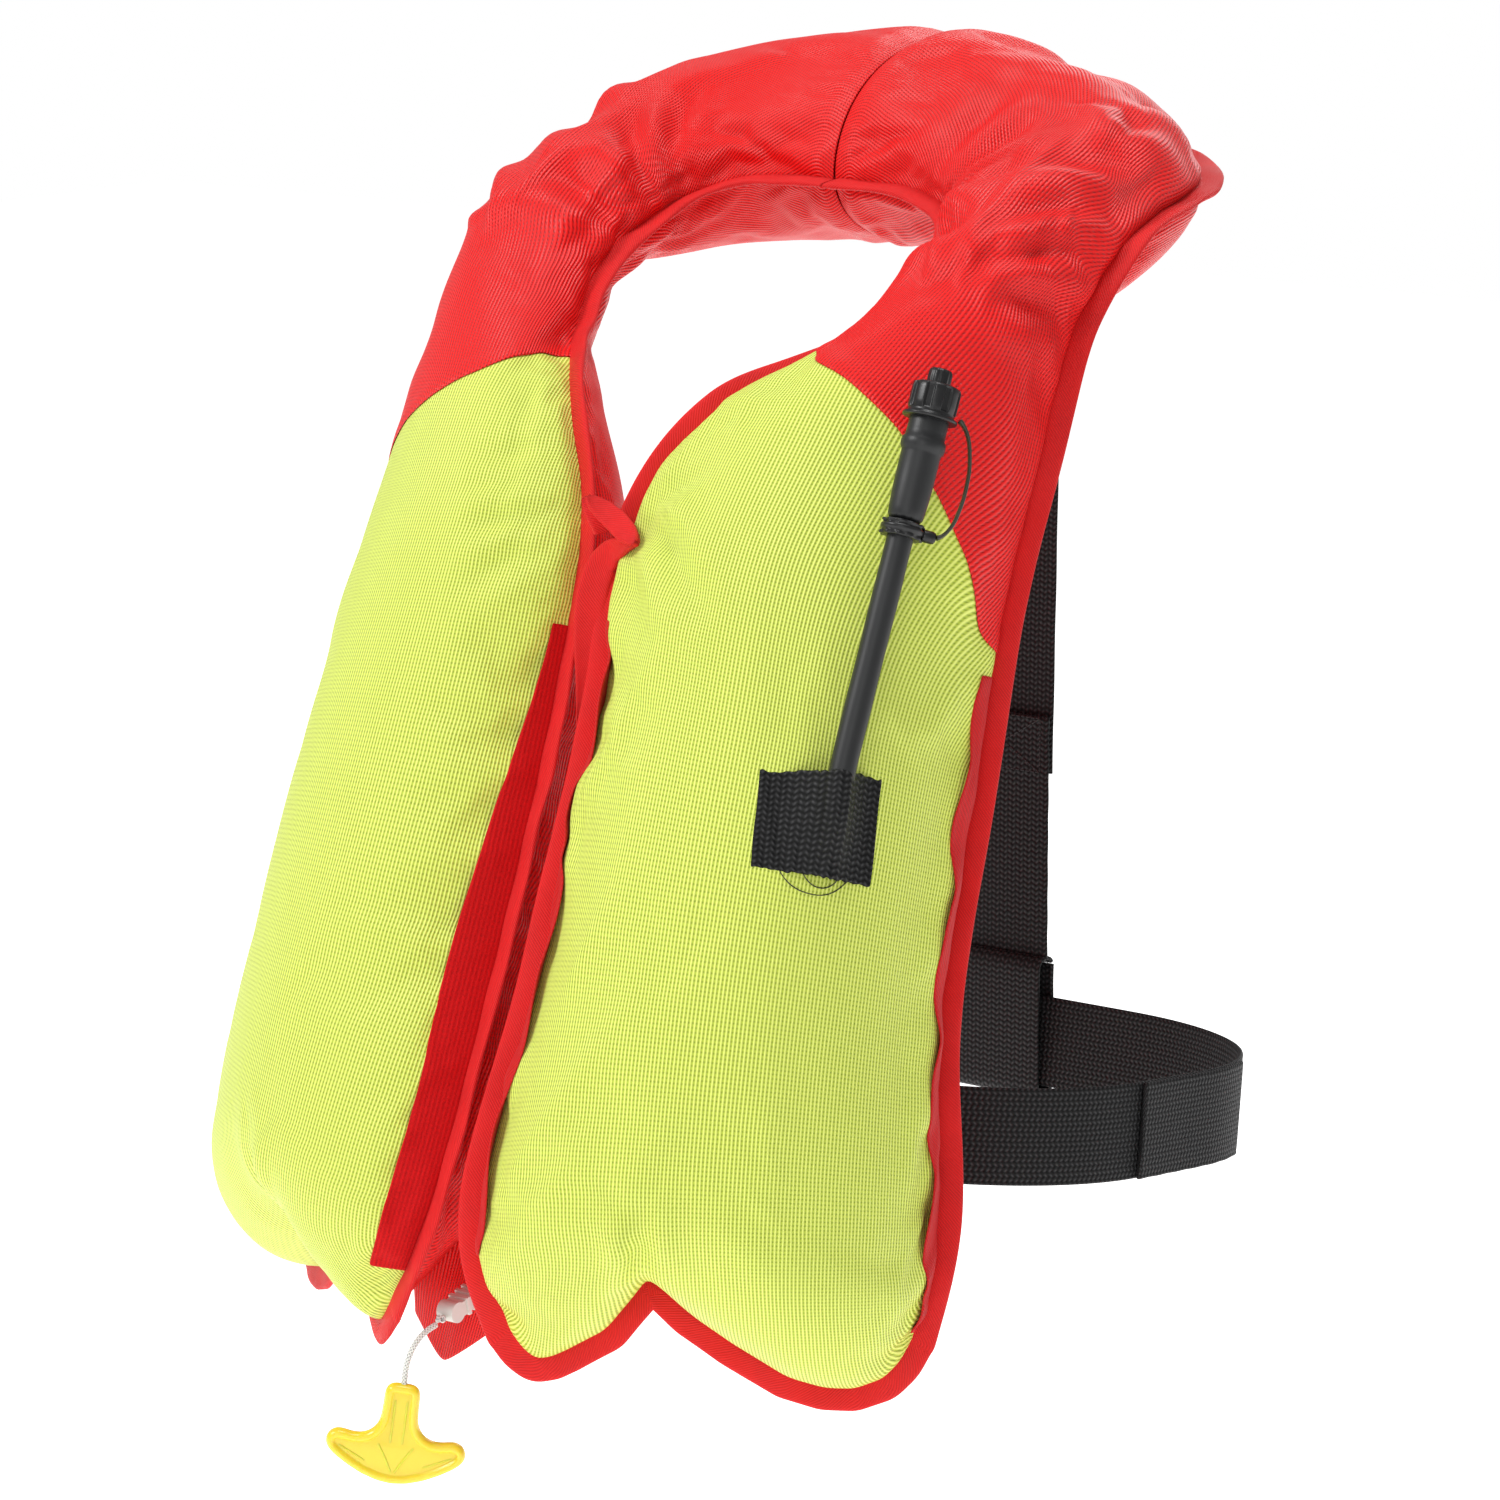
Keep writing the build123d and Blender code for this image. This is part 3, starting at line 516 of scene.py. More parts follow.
def cellPoint(side, t, angle, front=True):  # a point on the smooth inflated shape
    t, angle = np.broadcast_arrays(np.asarray(t, float), np.asarray(angle, float))
    inner, along, out, width, swell, backSwell = sectionAt(t)
    half = width / 2 - cellSet["flange"]
    across = width / 2 - half * np.cos(angle)
    share = (1 - np.cos(angle)) / 2
    reach = cellSet["endRound"] * (1 - 0.62 * bell(share - 0.362, 0.075))
    left = np.clip((endStation(share) - t) / reach, 0, 1)
    closing = np.sqrt(np.clip(1 - (1 - left) ** 2, 0, 1))
    height = (swell if front else -backSwell) * np.sin(angle) * closing
    point = inner + along * across[..., None] + out * height[..., None]
    point = point * vec(side, 1, 1)
    point[..., 0] += side * cellSet["halfGap"]
    return point


def cellStations(side):
    angles = np.linspace(0, math.pi, cellSet["columns"] + 1)
    share = (1 - np.cos(angles)) / 2
    yoke, end = yokeStation(side, share), endStation(share)
    bend = end - cellSet["endRound"] * (1 - 0.62 * bell(share - 0.362, 0.075))
    first = np.linspace(0, 1, cellSet["yokeRows"] + 1)[:, None] * yoke
    second = yoke + np.linspace(0, 1, cellSet["panelRows"] + 1)[1:, None] * (bend - yoke)
    turn = np.linspace(0, math.pi / 2, cellSet["endRows"] + 1)[1:, None]
    third = bend + (end - bend) * np.sin(turn)
    stations = np.concatenate([first, second, third])
    return stations, np.broadcast_to(angles, (len(stations), len(angles)))


def surfaceNormals(points, outward):
    down = np.gradient(points, axis=0)
    over = np.gradient(points, axis=1)
    normal = np.cross(over, down)
    size = np.linalg.norm(normal, axis=-1, keepdims=True)
    normal = np.where(size > 1e-12, normal / np.maximum(size, 1e-12), outward)
    return normal * np.where((normal * outward).sum(-1, keepdims=True) < 0, -1, 1)


# folds listed one by one: start and end as (station, share), width and depth in millimetres
foldSet = {
    1: [
        ((0.265, 0.02), (0.30, 0.34), 5.0, 3.4), ((0.235, 0.10), (0.245, 0.46), 6.0, 2.6),
        ((0.305, 0.55), (0.285, 0.96), 7.0, 5.5), ((0.335, 0.60), (0.322, 0.95), 6.0, 3.8),
        ((0.255, 0.60), (0.25, 0.95), 8.0, 3.2), ((0.362, 0.74), (0.372, 0.985), 5.0, 2.6),
        ((0.13, 0.04), (0.115, 0.34), 8.0, 2.0), ((0.17, 0.05), (0.175, 0.30), 7.0, 2.4),
        ((0.205, 0.02), (0.215, 0.30), 6.0, 2.6), ((0.08, 0.70), (0.085, 0.97), 9.0, 1.8),
        ((0.17, 0.66), (0.165, 0.97), 9.0, 2.4), ((0.21, 0.70), (0.205, 0.98), 7.0, 2.2),
        ((0.545, 0.03), (0.590, 0.27), 6.0, 3.2), ((0.553, 0.02), (0.555, 0.16), 4.0, 2.0),
        ((0.57, 0.015), (0.625, 0.12), 5.0, 2.4), ((0.535, 0.02), (0.505, 0.12), 5.0, 1.8),
        ((0.90, 0.375), (0.945, 0.362), 4.5, 5.0), ((0.93, 0.33), (0.945, 0.355), 4.0, 2.0),
    ],
    -1: [
        ((0.262, 0.02), (0.285, 0.38), 6.0, 3.2), ((0.225, 0.04), (0.225, 0.40), 7.0, 2.6),
        ((0.30, 0.50), (0.285, 0.96), 7.0, 4.0), ((0.185, 0.04), (0.165, 0.30), 7.0, 2.0),
        ((0.33, 0.60), (0.32, 0.95), 6.0, 3.4), ((0.255, 0.60), (0.25, 0.95), 8.0, 3.0),
        ((0.505, 0.02), (0.515, 0.16), 4.5, 2.0), ((0.528, 0.015), (0.535, 0.17), 4.0, 2.2),
        ((0.55, 0.015), (0.563, 0.15), 4.5, 2.6), ((0.572, 0.02), (0.60, 0.13), 5.0, 2.2),
        ((0.20, 0.66), (0.205, 0.97), 8.0, 2.4), ((0.14, 0.70), (0.135, 0.97), 9.0, 2.0),
        ((0.90, 0.375), (0.945, 0.362), 4.5, 4.5),
    ],
}


def foldDepth(side, t, share):
    total = np.zeros_like(t)
    x, y = share * 0.19, t * runScale
    for start, end, wide, deep in foldSet[side]:
        a, b = vec(start[1] * 0.19, start[0] * runScale), vec(end[1] * 0.19, end[0] * runScale)
        d = b - a
        k = ((x - a[0]) * d[0] + (y - a[1]) * d[1]) / (d @ d)
        kept = np.clip(k, 0, 1)
        off = np.hypot(x - a[0] - kept * d[0], y - a[1] - kept * d[1])
        fade = np.sin(math.pi * np.clip(0.12 + kept * 0.76, 0, 1))
        line = bell(off, wide * mm) - 0.45 * bell(off - 2.0 * wide * mm, wide * mm)
        crease = 1.9 if max(start[0], end[0]) < 0.4 else 1.15
        total -= crease * deep * mm * fade * line
    return total


# cloth simulation of the pumped-up cell gives the puckers along its seams
puffSet = {"frames": 26, "pressure": 3.2, "spare": 0.06, "keep": 1.5, "slack": 5, "cap": 3.6 * mm}


def puckers(sheets):  # sheets: list of point grids, front and back in turn; gives each one's normal offsets
    offsets = [np.zeros(s.shape[:2]) for s in sheets]
    points, faces, pinned, places = [], [], [], []
    for k in range(0, len(sheets), 2):
        front, back = sheets[k], sheets[k + 1]
        rows, columns = front.shape[:2]
        start = len(points)
        points += front.reshape(-1, 3).tolist()
        edge = np.zeros((rows, columns), bool)
        edge[:, 0] = edge[:, -1] = edge[-1] = edge[0] = True
        ids = start + np.arange(rows * columns).reshape(rows, columns)
        backIds = ids.copy()
        free = ~edge
        free[0, 1:-1] = True
        backIds[free] = len(points) + np.arange(free.sum())
        points += back[free].tolist()
        pinned += ids[edge].tolist() + backIds[0].tolist()
        for grid, turn in ((ids, False), (backIds, True)):
            quads = np.stack([grid[:-1, :-1], grid[:-1, 1:], grid[1:, 1:], grid[1:, :-1]], -1).reshape(-1, 4)
            faces += (quads[:, ::-1] if turn else quads).tolist()
        faces.append(ids[0].tolist() + backIds[0, 1:-1][::-1].tolist())
        places += [ids, backIds]
    cover = meshPiece("puffing", np.array(points), [tuple(f) for f in faces])
    group = cover.vertex_groups.new(name="sewn")
    group.add(sorted(set(pinned)), 1.0, "REPLACE")
    cloth = cover.modifiers.new("puff", "CLOTH")
    s = cloth.settings
    s.quality, s.mass = 5, 0.25
    s.tension_stiffness = s.compression_stiffness = 25
    s.shear_stiffness, s.bending_stiffness = 8, 0.4
    s.tension_damping = s.compression_damping = 6
    s.air_damping = 2
    s.use_pressure, s.uniform_pressure_force = True, puffSet["pressure"]
    s.shrink_min = s.shrink_max = -puffSet["spare"]
    s.vertex_group_mass = "sewn"
    s.effector_weights.gravity = 0
    cloth.collision_settings.use_collision = False
    cloth.point_cache.frame_start, cloth.point_cache.frame_end = 1, puffSet["frames"]
    for frameNumber in range(1, puffSet["frames"] + 1):
        scene.frame_set(frameNumber)
    puffed = cover.evaluated_get(bpy.context.evaluated_depsgraph_get()).to_mesh()
    after = np.empty(len(puffed.vertices) * 3)
    puffed.vertices.foreach_get("co", after)
    after = after.reshape(-1, 3)
    scene.frame_set(1)
    bpy.data.objects.remove(cover)
    for k, (sheet, ids) in enumerate(zip(sheets, places)):
        moved = after[ids.ravel()].reshape(sheet.shape) - sheet
        outward = sheet - (sheet[:, :1] + sheet[:, -1:]) / 2
        normal = surfaceNormals(sheet, outward)
        lift = (moved * normal).sum(-1)
        size = puffSet["slack"]
        low = blur(blur(lift, size, 0), size * 0.8, 1)
        offsets[k] = puffSet["cap"] * np.tanh((lift - low) * puffSet["keep"] / puffSet["cap"])
        print("puckers", k, "lift", round(float(np.abs(lift).max() / mm), 1), "kept",
              round(float(np.abs(offsets[k]).max() / mm), 1), round(float(offsets[k].std() / mm), 2))
    return offsets


def clothUvs(points):  # metres along and across the sheet, counted from its middle
    across = np.concatenate([np.zeros((len(points), 1)),
                             np.cumsum(np.linalg.norm(np.diff(points, axis=1), axis=-1), axis=1)], 1)
    middle = points.shape[1] // 2
    across -= across[:, middle:middle + 1]
    step = np.linalg.norm(np.diff(points[:, middle], axis=0), axis=-1)
    along = np.concatenate([[0], np.cumsum(step)])
    return np.stack(np.broadcast_arrays(across, along[:, None]), -1)


def ribUvs(side, points, t):  # ribs run straight down the flat cut, not round its ends
    _, aside, out = sectionAt(t.ravel())[:3]
    flow = unit(np.cross(aside, out) * vec(side, 1, 1)).reshape(t.shape + (3,))
    flow = (flow[:, 1:] + flow[:, :-1]) / 2
    step = np.diff(points, axis=1)
    step = step - flow * (step * flow).sum(-1, keepdims=True)
    across = np.concatenate([np.zeros((len(points), 1)), np.cumsum(np.linalg.norm(step, axis=-1), axis=1)], 1)
    middle = points.shape[1] // 2
    return np.stack([across - across[:, middle:middle + 1], t * runScale], -1)


grids, sheets = {}, []
for side in (1, -1):
    t, angle = cellStations(side)
    for front in (True, False):
        grids[side, front] = [t, angle, cellPoint(side, t, angle, front)]
        sheets.append(grids[side, front][2])
offsets = puckers(sheets)
print("cell puffed")


def finishedSheet(side, front, lift):
    t, angle, points = grids[side, front]
    share = (1 - np.cos(angle)) / 2
    outward = points - (points[:, :1] + points[:, -1:]) / 2
    normal = surfaceNormals(points, outward)
    nearSeam = smooth(np.minimum(np.sin(angle) / 0.16, (endStation(share) - t) / 0.02))
    atBack = smooth(t / 0.02)  # the two halves meet in one seam at the centre back
    collar = 1 - smooth((t - 0.30) / 0.12)
    beside = bell(np.sin(angle), 0.55)
    depth = lift * (0.25 + 0.75 * atBack) * np.maximum(0.16 + 0.84 * beside, 0.75 * collar)
    if front:
        depth = depth + foldDepth(side, t, share) * nearSeam
    depth = depth * nearSeam - 3.0 * mm * np.sin(angle) * bell(t * runScale, 3.5 * mm)
    lobeRipple = 0.5 * mm * np.sin(t * 150 + 3 * side) * bell(np.sin(angle) - 0.22, 0.22)
    lobeRipple = lobeRipple * smooth((t - 0.45) / 0.1)
    return points + normal * (depth + lobeRipple * nearSeam)[..., None], t


clothMade = {}
sideName = {1: "left", -1: "right"}
for k, (side, front) in enumerate(grids):
    points, t = finishedSheet(side, front, offsets[k])
    uvs = ribUvs(side, points, t)
    name = sideName[side]
    last = cellSet["yokeRows"]
    if front:
        outward = points - (points[:, :1] + points[:, -1:]) / 2
        normal = surfaceNormals(points, outward)
        proud = np.zeros(points.shape[:2])
        proud[last] = proud[last - 1] = 0.7 * mm
        yokePoints = points + normal * proud[..., None]
        yoke = yokePoints[:last + 1].copy()
        yoke[last] += unit(points[last + 1] - points[last]) * 1.6 * mm
        pieces = [("front_yoke", yoke, uvs[:last + 1], redCloth, "red_fabric"),
                  ("front_panel", points[last:], uvs[last:], limeCloth, "lime_fabric")]
    else:
        pieces = [("back_panel", points, uvs, redCloth, "red_fabric")]
    for kind, grid, uv, material, slotName in pieces:
        piece = gridPiece(f"{name}_{kind}_cloth", grid, uv, flip=(side > 0) != front)
        paint(piece, material)
        modifier(piece, "SOLIDIFY", thickness=0.7 * mm, offset=-1)
        modifier(piece, "SUBSURF", levels=1, render_levels=1)
        stoodFor = [f"{name}_{kind}"] + ([f"{name}_air_bladder"] if kind == "front_panel" else [])
        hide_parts(*stoodFor)
        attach(piece, "root")
        cells = np.linalg.norm(np.cross(grid[1:, :-1] - grid[:-1, :-1], grid[:-1, 1:] - grid[:-1, :-1]),
                               axis=-1)
        clothMade[f"{name}_{kind}"] = [piece, grid]
        print(piece.name, "area", round(float(cells.sum()), 4))


# bound edge: a folded twill tape right round each half

bindingShape = {"wide": 10.5 * mm, "over": 2.2 * mm, "wave": 0.9 * mm, "puff": 1.5 * mm}


def seamPath(side):  # sewn line from the centre back: inner edge, lobe end, then the outer edge
    t = np.linspace(0.0, 1, 400)
    innerEnd, outerEnd = endStation(np.array([0.0, 1.0]))
    down, up = t * innerEnd, (1 - t) * outerEnd
    angles = np.linspace(0, math.pi, 300)[1:-1]
    across = endStation((1 - np.cos(angles)) / 2)
    stations = np.concatenate([down, across, up])
    angle = np.concatenate([np.zeros(400), angles, np.full(400, math.pi)])
    points = cellPoint(side, stations, angle)
    normal = sectionAt(stations)[2] * vec(side, 1, 1)
    joined = evenly(np.concatenate([points, normal, stations[:, None], angle[:, None]], 1), 0.6 * mm)
    return joined[:, :3], unit(joined[:, 3:6]), joined[:, 6], joined[:, 7]


def bindingPiece(side):
    s = bindingShape
    points, normal, stations, angle = seamPath(side)
    points = blur(points, 3.0, 0)
    tangent = unit(np.gradient(points, axis=0))
    outward = unit(np.cross(tangent, normal)) * side
    middle = cellPoint(side, np.clip(stations, 0, 0.98), math.pi / 2) * 0.5 \
        + cellPoint(side, np.clip(stations, 0, 0.98), math.pi / 2, False) * 0.5
    if ((outward * (points - middle)).sum(-1)).mean() < 0:
        outward = -outward
    outward = unit(blur(outward, 9.0, 0))
    normal = unit(np.cross(outward, tangent))
    keep = slice(None, None, 4)
    points, outward, normal, stations, angle = (x[keep] for x in (points, outward, normal, stations, angle))
    run = np.concatenate([[0], np.cumsum(np.linalg.norm(np.diff(points, axis=0), axis=1))])
    lazy = np.sin(run / 0.017 + 2 * np.sin(run / 0.061) + side)
    lazy = lazy * 0.6 + 0.4 * np.sin(run / 0.0071 + side * 2 + 1.5 * np.sin(run / 0.03))
    calm = smooth((stations - 0.02) / 0.05)
    lift = s["wave"] * lazy * calm
    centre = smooth(run / (4 * mm)) * smooth((run[-1] - run) / (4 * mm))
    puff = s["puff"] * (1 + 0.16 * np.sin(run / 0.0052 + side)) * (0.6 + 0.4 * centre)
    wide = s["wide"] * (1 + 0.03 * np.sin(run / 0.023 + side * 1.3))
    fractions = [(-s["over"], 0.75), (-0.6 * mm, 1.02), (0.9 * mm, 0.98), (3.0 * mm, 1.0), (6.0 * mm, 1.0),
                 (8.4 * mm, 0.92), (9.8 * mm, 0.66), (10.5 * mm, 0.0)]
    profile = []
    for sign in (1, -1):
        row = []
        for x, h in (fractions if sign > 0 else fractions[-2::-1]):
            far = max(x, 0) / s["wide"]
            stitchDip = 0.42 * mm * bell(x + 0.2 * mm, 0.9 * mm)
            onCloth = 1.7 * mm if x < 0 else 0.0
            row.append(np.stack([np.where(x > 0, x / s["wide"] * wide, x),
                                 sign * (np.maximum(puff * h, onCloth) - stitchDip) + lift * far**1.5], -1))
        profile += row
    profile = np.stack(profile, 1)
    piece = sweepPiece(f"{sideName[side]}_bound_edge", points, outward, normal, profile)
    paint(piece, redBinding)
    modifier(piece, "SUBSURF", levels=1, render_levels=1)
    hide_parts(*[f"{sideName[side]}_{k}_binding" for k in ("inner", "outer", "end")])
    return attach(piece, "root")


for side in (1, -1):
    bindingPiece(side)
print("edges bound")


# closure tapes down both lobes, sewn by one edge, the other standing off and scalloped

tapeSet = {
    "left_inner": {"side": 1, "from": 0.612, "to": 0.925, "sewn": 0.0, "free": 0.016, "stand": 2.2,
                   "scallop": 2.6, "pitch": 0.036, "outer": False, "wide": 9.5},
    "right_inner": {"side": -1, "from": 0.618, "to": 0.955, "sewn": 0.0, "free": 0.0225, "stand": 1.2,
                    "scallop": 0.5, "pitch": 0.06, "outer": False, "wide": 16.5, "taper": 0.16},
    "left_outer": {"side": 1, "from": 0.588, "to": 0.978, "sewn": 1.0, "free": 0.983, "stand": 2.6,
                   "scallop": 1.9, "pitch": 0.040, "outer": True, "wide": 10.5},
    "right_outer": {"side": -1, "from": 0.588, "to": 0.975, "sewn": 1.0, "free": 0.983, "stand": 2.2,
                    "scallop": 1.6, "pitch": 0.043, "outer": True, "wide": 10.5},
}


def frontSurface(side):
    rows = [clothMade[f"{sideName[side]}_front_yoke"][1], clothMade[f"{sideName[side]}_front_panel"][1][1:]]
    points = np.concatenate(rows)
    tree = BVHTree.FromPolygons([tuple(p) for p in points.reshape(-1, 3)],
                                gridFaces(*points.shape[:2]))
    return tree


clothTrees = {side: frontSurface(side) for side in (1, -1)}


def closureTape(name, s):
    side = s["side"]
    count = int((s["to"] - s["from"]) * runScale / (2.2 * mm))
    t = np.linspace(s["from"], s["to"], count)
    layers = 9
    v = np.linspace(0, 1, layers)
    run = t * runScale
    beat = 2 * math.pi * run / s["pitch"] + 1.4 * np.sin(run / 0.06 + side)
    swing = np.abs(np.sin(beat / 2)) - 0.5 + 0.35 * np.sin(beat * 0.37 + 1)
    sewnAngle, freeAngle = math.acos(1 - 2 * s["sewn"]), math.acos(1 - 2 * s["free"])
    base = cellPoint(side, t, sewnAngle)
    tangent = unit(np.gradient(base, axis=0))
    towards = cellPoint(side, t, freeAngle) - base
    towards = unit(towards - tangent * (towards * tangent).sum(-1, keepdims=True))
    grid = np.empty((count, layers, 3))
    rims = s["wide"] * mm + s["scallop"] * mm * swing
    rims = rims * (0.45 + 0.55 * smooth((t - t[0]) / s["taper"])) if "taper" in s else rims
    ends = smooth((t - t[0]) / 0.02) * smooth((t[-1] - t) / 0.02)
    for k, share in enumerate(v):
        angle = sewnAngle + (freeAngle - sewnAngle) * share * (rims / (s["wide"] * mm))
        point = cellPoint(side, t, angle)
        out = sectionAt(t)[2] * vec(side, 1, 1)
        scallops = 0.55 + 0.45 * np.sin(beat + 0.8)
        stand = 1.0 * mm + s["stand"] * mm * share**1.5 * scallops * (0.4 + 0.6 * ends)
        over = unit(np.cross(unit(np.gradient(point, axis=0)), towards))
        over = over * np.sign((over * out).sum(-1, keepdims=True))
        for m in range(count):  # kept clear of the cloth below
            start = Vector(point[m] + over[m] * 12 * mm)
            hit = clothTrees[side].ray_cast(start, Vector(-over[m]))
            bed = 12 * mm - hit[3] if hit[0] is not None else 0.0
            grid[m, k] = point[m] + over[m] * (stand[m] + max(bed, 0.0))
    uvs = np.stack(np.broadcast_arrays(v[None, :] * rims[:, None], (run - run[0])[:, None]), -1)
    piece = gridPiece(f"{name}_closure_tape", grid, uvs, flip=(side > 0) == s["outer"])
    paint(piece, redLoop if name == "right_inner" else redTape)
    modifier(piece, "SOLIDIFY", thickness=1.0 * mm, offset=1)
    modifier(piece, "SUBSURF", levels=1, render_levels=1)
    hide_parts(f"{name}_tape")
    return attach(piece, "root")


for name, s in tapeSet.items():
    closureTape(name, s)
print("closure tapes sewn")


# pull cord and handle

cordSet = {
    "route": [(-9, -173.9, -380.4), (-9.4, -181.5, -381.4), (-10.6, -188.5, -388.5), (-12.0, -190.3, -397.0),
              (-12.1, -190.5, -404.6)],
    "diameter": 2.4 * mm, "length": 0.031,  # estimated; the line is made a little longer
}


def pullCord(s):
    curve = bpy.data.curves.new("pull_line", "CURVE")
    curve.dimensions = "3D"
    spline = curve.splines.new("NURBS")
    spline.points.add(len(s["route"]) - 1)
    for point, place in zip(spline.points, s["route"]):
        point.co = (place[0] * mm, place[1] * mm, place[2] * mm, 1)
    spline.order_u = 3
    spline.use_endpoint_u = True
    spline.resolution_u = 16
    bare = bpy.data.objects.new("pull_line_centre", curve)
    scene.collection.objects.link(bare)
    line = bpy.data.meshes.new_from_object(bare)
    path = evenly([v.co for v in line.vertices], 0.8 * mm)
    bpy.data.objects.remove(bare)
    tangent = unit(np.gradient(path, axis=0))
    sideways = unit(np.cross(tangent, vec(0.6, -0.8, 0.1)))
    upward = np.cross(tangent, sideways)
    turns = np.linspace(0, 2 * math.pi, 17)[:-1]
    rows = []
    for k in range(len(path)):
        r = s["diameter"] / 2 * (0.95 + 0.09 * np.abs(np.sin(2 * turns + k * 0.9)))
        rows.append(np.stack([r * np.cos(turns), r * np.sin(turns)], -1))
    piece = sweepPiece("pull_line", path, sideways, upward, np.array(rows))
    paint(piece, whiteBraid)
    modifier(piece, "SUBSURF", levels=1, render_levels=1)
    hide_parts("pull_cord")
    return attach(piece, "pull"), path


handleSet = {"top": (-12.0, -190.5, -401.0), "across": (0.7986, 0.6018, 0), "tilt": 8.0, "thick": 6.6}
# half outline of the handle, from the top of its stem, millimetres
handleHalf = [(0, 0), (3.6, 0.05), (5.7, 0.8), (6.8, 2.4), (7.1, 4.6), (7.15, 10), (7.5, 15), (8.6, 18.2),
              (11.0, 20.9), (14.3, 22.3), (17.8, 22.3), (21.0, 21.6), (23.8, 21.4), (26.2, 22.6),
              (27.8, 25.0), (27.9, 27.6), (26.6, 30.0), (23.6, 32.6), (18.5, 35.8), (12.5, 38.8),
              (6.0, 40.9), (0, 41.6)]


def pullHandle(s):
    right = np.array(handleHalf, float)
    left = right[::-1][1:-1] * vec(-1, 1)
    outline = np.concatenate([right, left, right[:1]])
    outline = evenly(outline, 0.9)[:-1]
    outline = np.concatenate([outline[-20:], outline, outline[:20]])
    outline = blur(outline, 1.3, 0)[20:-20]
    ahead, behind = np.roll(outline, -1, 0), np.roll(outline, 1, 0)
    tangent = unit(ahead - behind)
    inward = np.stack([-tangent[:, 1], tangent[:, 0]], -1)
    if ((outline + inward * 0.5)[:, 0].std()) > outline[:, 0].std():
        inward = -inward
    inward = unit(blur(np.concatenate([inward[-12:], inward, inward[:12]]), 1.6, 0)[12:-12])
    half = s["thick"] / 2
    rings = [(0.0, 0.0), (0.12, 0.30), (0.45, 0.62), (1.0, 0.88), (1.9, 1.0), (2.7, 0.97), (3.2, 0.80),
             (3.5, 0.62), (3.9, 0.58)]
    across = vec(*s["across"])
    down = vec(0, 0, -1)
    a = math.radians(s["tilt"])
    xAxis, yAxis = across * math.cos(a) + down * math.sin(a), down * math.cos(a) - across * math.sin(a)
    facing = unit(np.cross(xAxis, down))
    facing = facing if facing[1] < 0 else -facing
    order = [(d, h) for d, h in rings[::-1]] + [(d, -h) for d, h in rings[1:]]
    top = vec(*s["top"])
    points = []
    for inset, height in order:
        ring = outline + inward * inset
        points.append(top + ring[:, :1] * xAxis + ring[:, 1:] * yAxis + height * half * facing)
    count = len(outline)
    points = np.array(points) * mm
    faces = gridFaces(len(order), count, wrapColumns=True)
    faces.append(tuple(range(count)))
    faces.append(tuple((len(order) - 1) * count + k for k in reversed(range(count))))
    vertices = points.reshape(-1, 3).tolist()

    def ridge(line, radius, side):  # a raised line moulded on the recessed face
        line = evenly(np.array(line, float), 0.8)
        flow = unit(np.gradient(line, axis=0))
        aside = np.stack([-flow[:, 1], flow[:, 0]], -1)
        start = len(vertices)
        shape = [(-1, 0), (-0.6, 0.75), (0, 1), (0.6, 0.75), (1, 0)]
        fade = np.sin(np.linspace(0.25, math.pi - 0.25, len(line)))[:, None]
        for x, h in shape:
            spot = line + aside * x * radius
            lift = side * (0.575 * half + h * radius * 0.9 * np.minimum(1, fade * 1.5))
            vertices.extend(((top + spot[:, :1] * xAxis + spot[:, 1:] * yAxis + lift * facing) * mm).tolist())
        n = len(line)
        for k in range(len(shape) - 1):
            for m in range(n - 1):
                b = start + k * n + m
                faces.append((b, b + 1, b + n + 1, b + n))

    for side in (1, -1):
        for x in (-2.4, 2.4):
            ridge([(x, 6.5), (x, 24.5)], 0.45, side)
        for x in (-1, 1):
            ridge([(x * 7.0, 25.5), (x * 3.6, 31.0), (x * 0.7, 36.6)], 0.5, side)
            ridge([(x * 22.5, 27.8), (x * 17, 30.4), (x * 11.5, 33.0)], 0.4, side)
    piece = meshPiece("pull_grip", vertices, [tuple(f) for f in faces])
    modifier(piece, "BEVEL", width=0.15 * mm, segments=2, limit_method="ANGLE", angle_limit=math.radians(50))
    paint(piece, yellowPlastic)
    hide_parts("pull_handle")
    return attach(piece, "pull")


line, linePath = pullCord(cordSet)
grip = pullHandle(handleSet)


def stopperKnot():  # overhand knot: one short length of the same line wound on itself
    centre = np.mean([np.array(c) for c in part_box("cord_knot")], axis=0)
    turns = np.linspace(0, 2 * math.pi, 61)[:-1]
    size = 1.05 * mm
    path = np.stack([(np.sin(turns) + 1.1 * np.sin(2 * turns)) * size,
                     (np.cos(turns) - 1.1 * np.cos(2 * turns)) * size, -np.sin(3 * turns) * size * 0.8],
                     -1) * 0.72 + centre
    closed = np.concatenate([path[-1:], path, path[:1]])
    tangent = unit(closed[2:] - closed[:-2])
    aside = unit(np.cross(tangent, vec(0.2, 0.3, 1.0)))
    upward = np.cross(tangent, aside)
    around = np.linspace(0, 2 * math.pi, 11)[:-1]
    circle = np.stack([np.cos(around), np.sin(around)], -1) * 0.85 * mm
    piece = sweepPiece("stopper_knot", path, aside, upward, circle, closed=True)
    paint(piece, whiteBraid)
    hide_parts("cord_knot")
    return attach(piece, "pull")


knot = stopperKnot()
print("cord and grip made")


# oral inflation tube

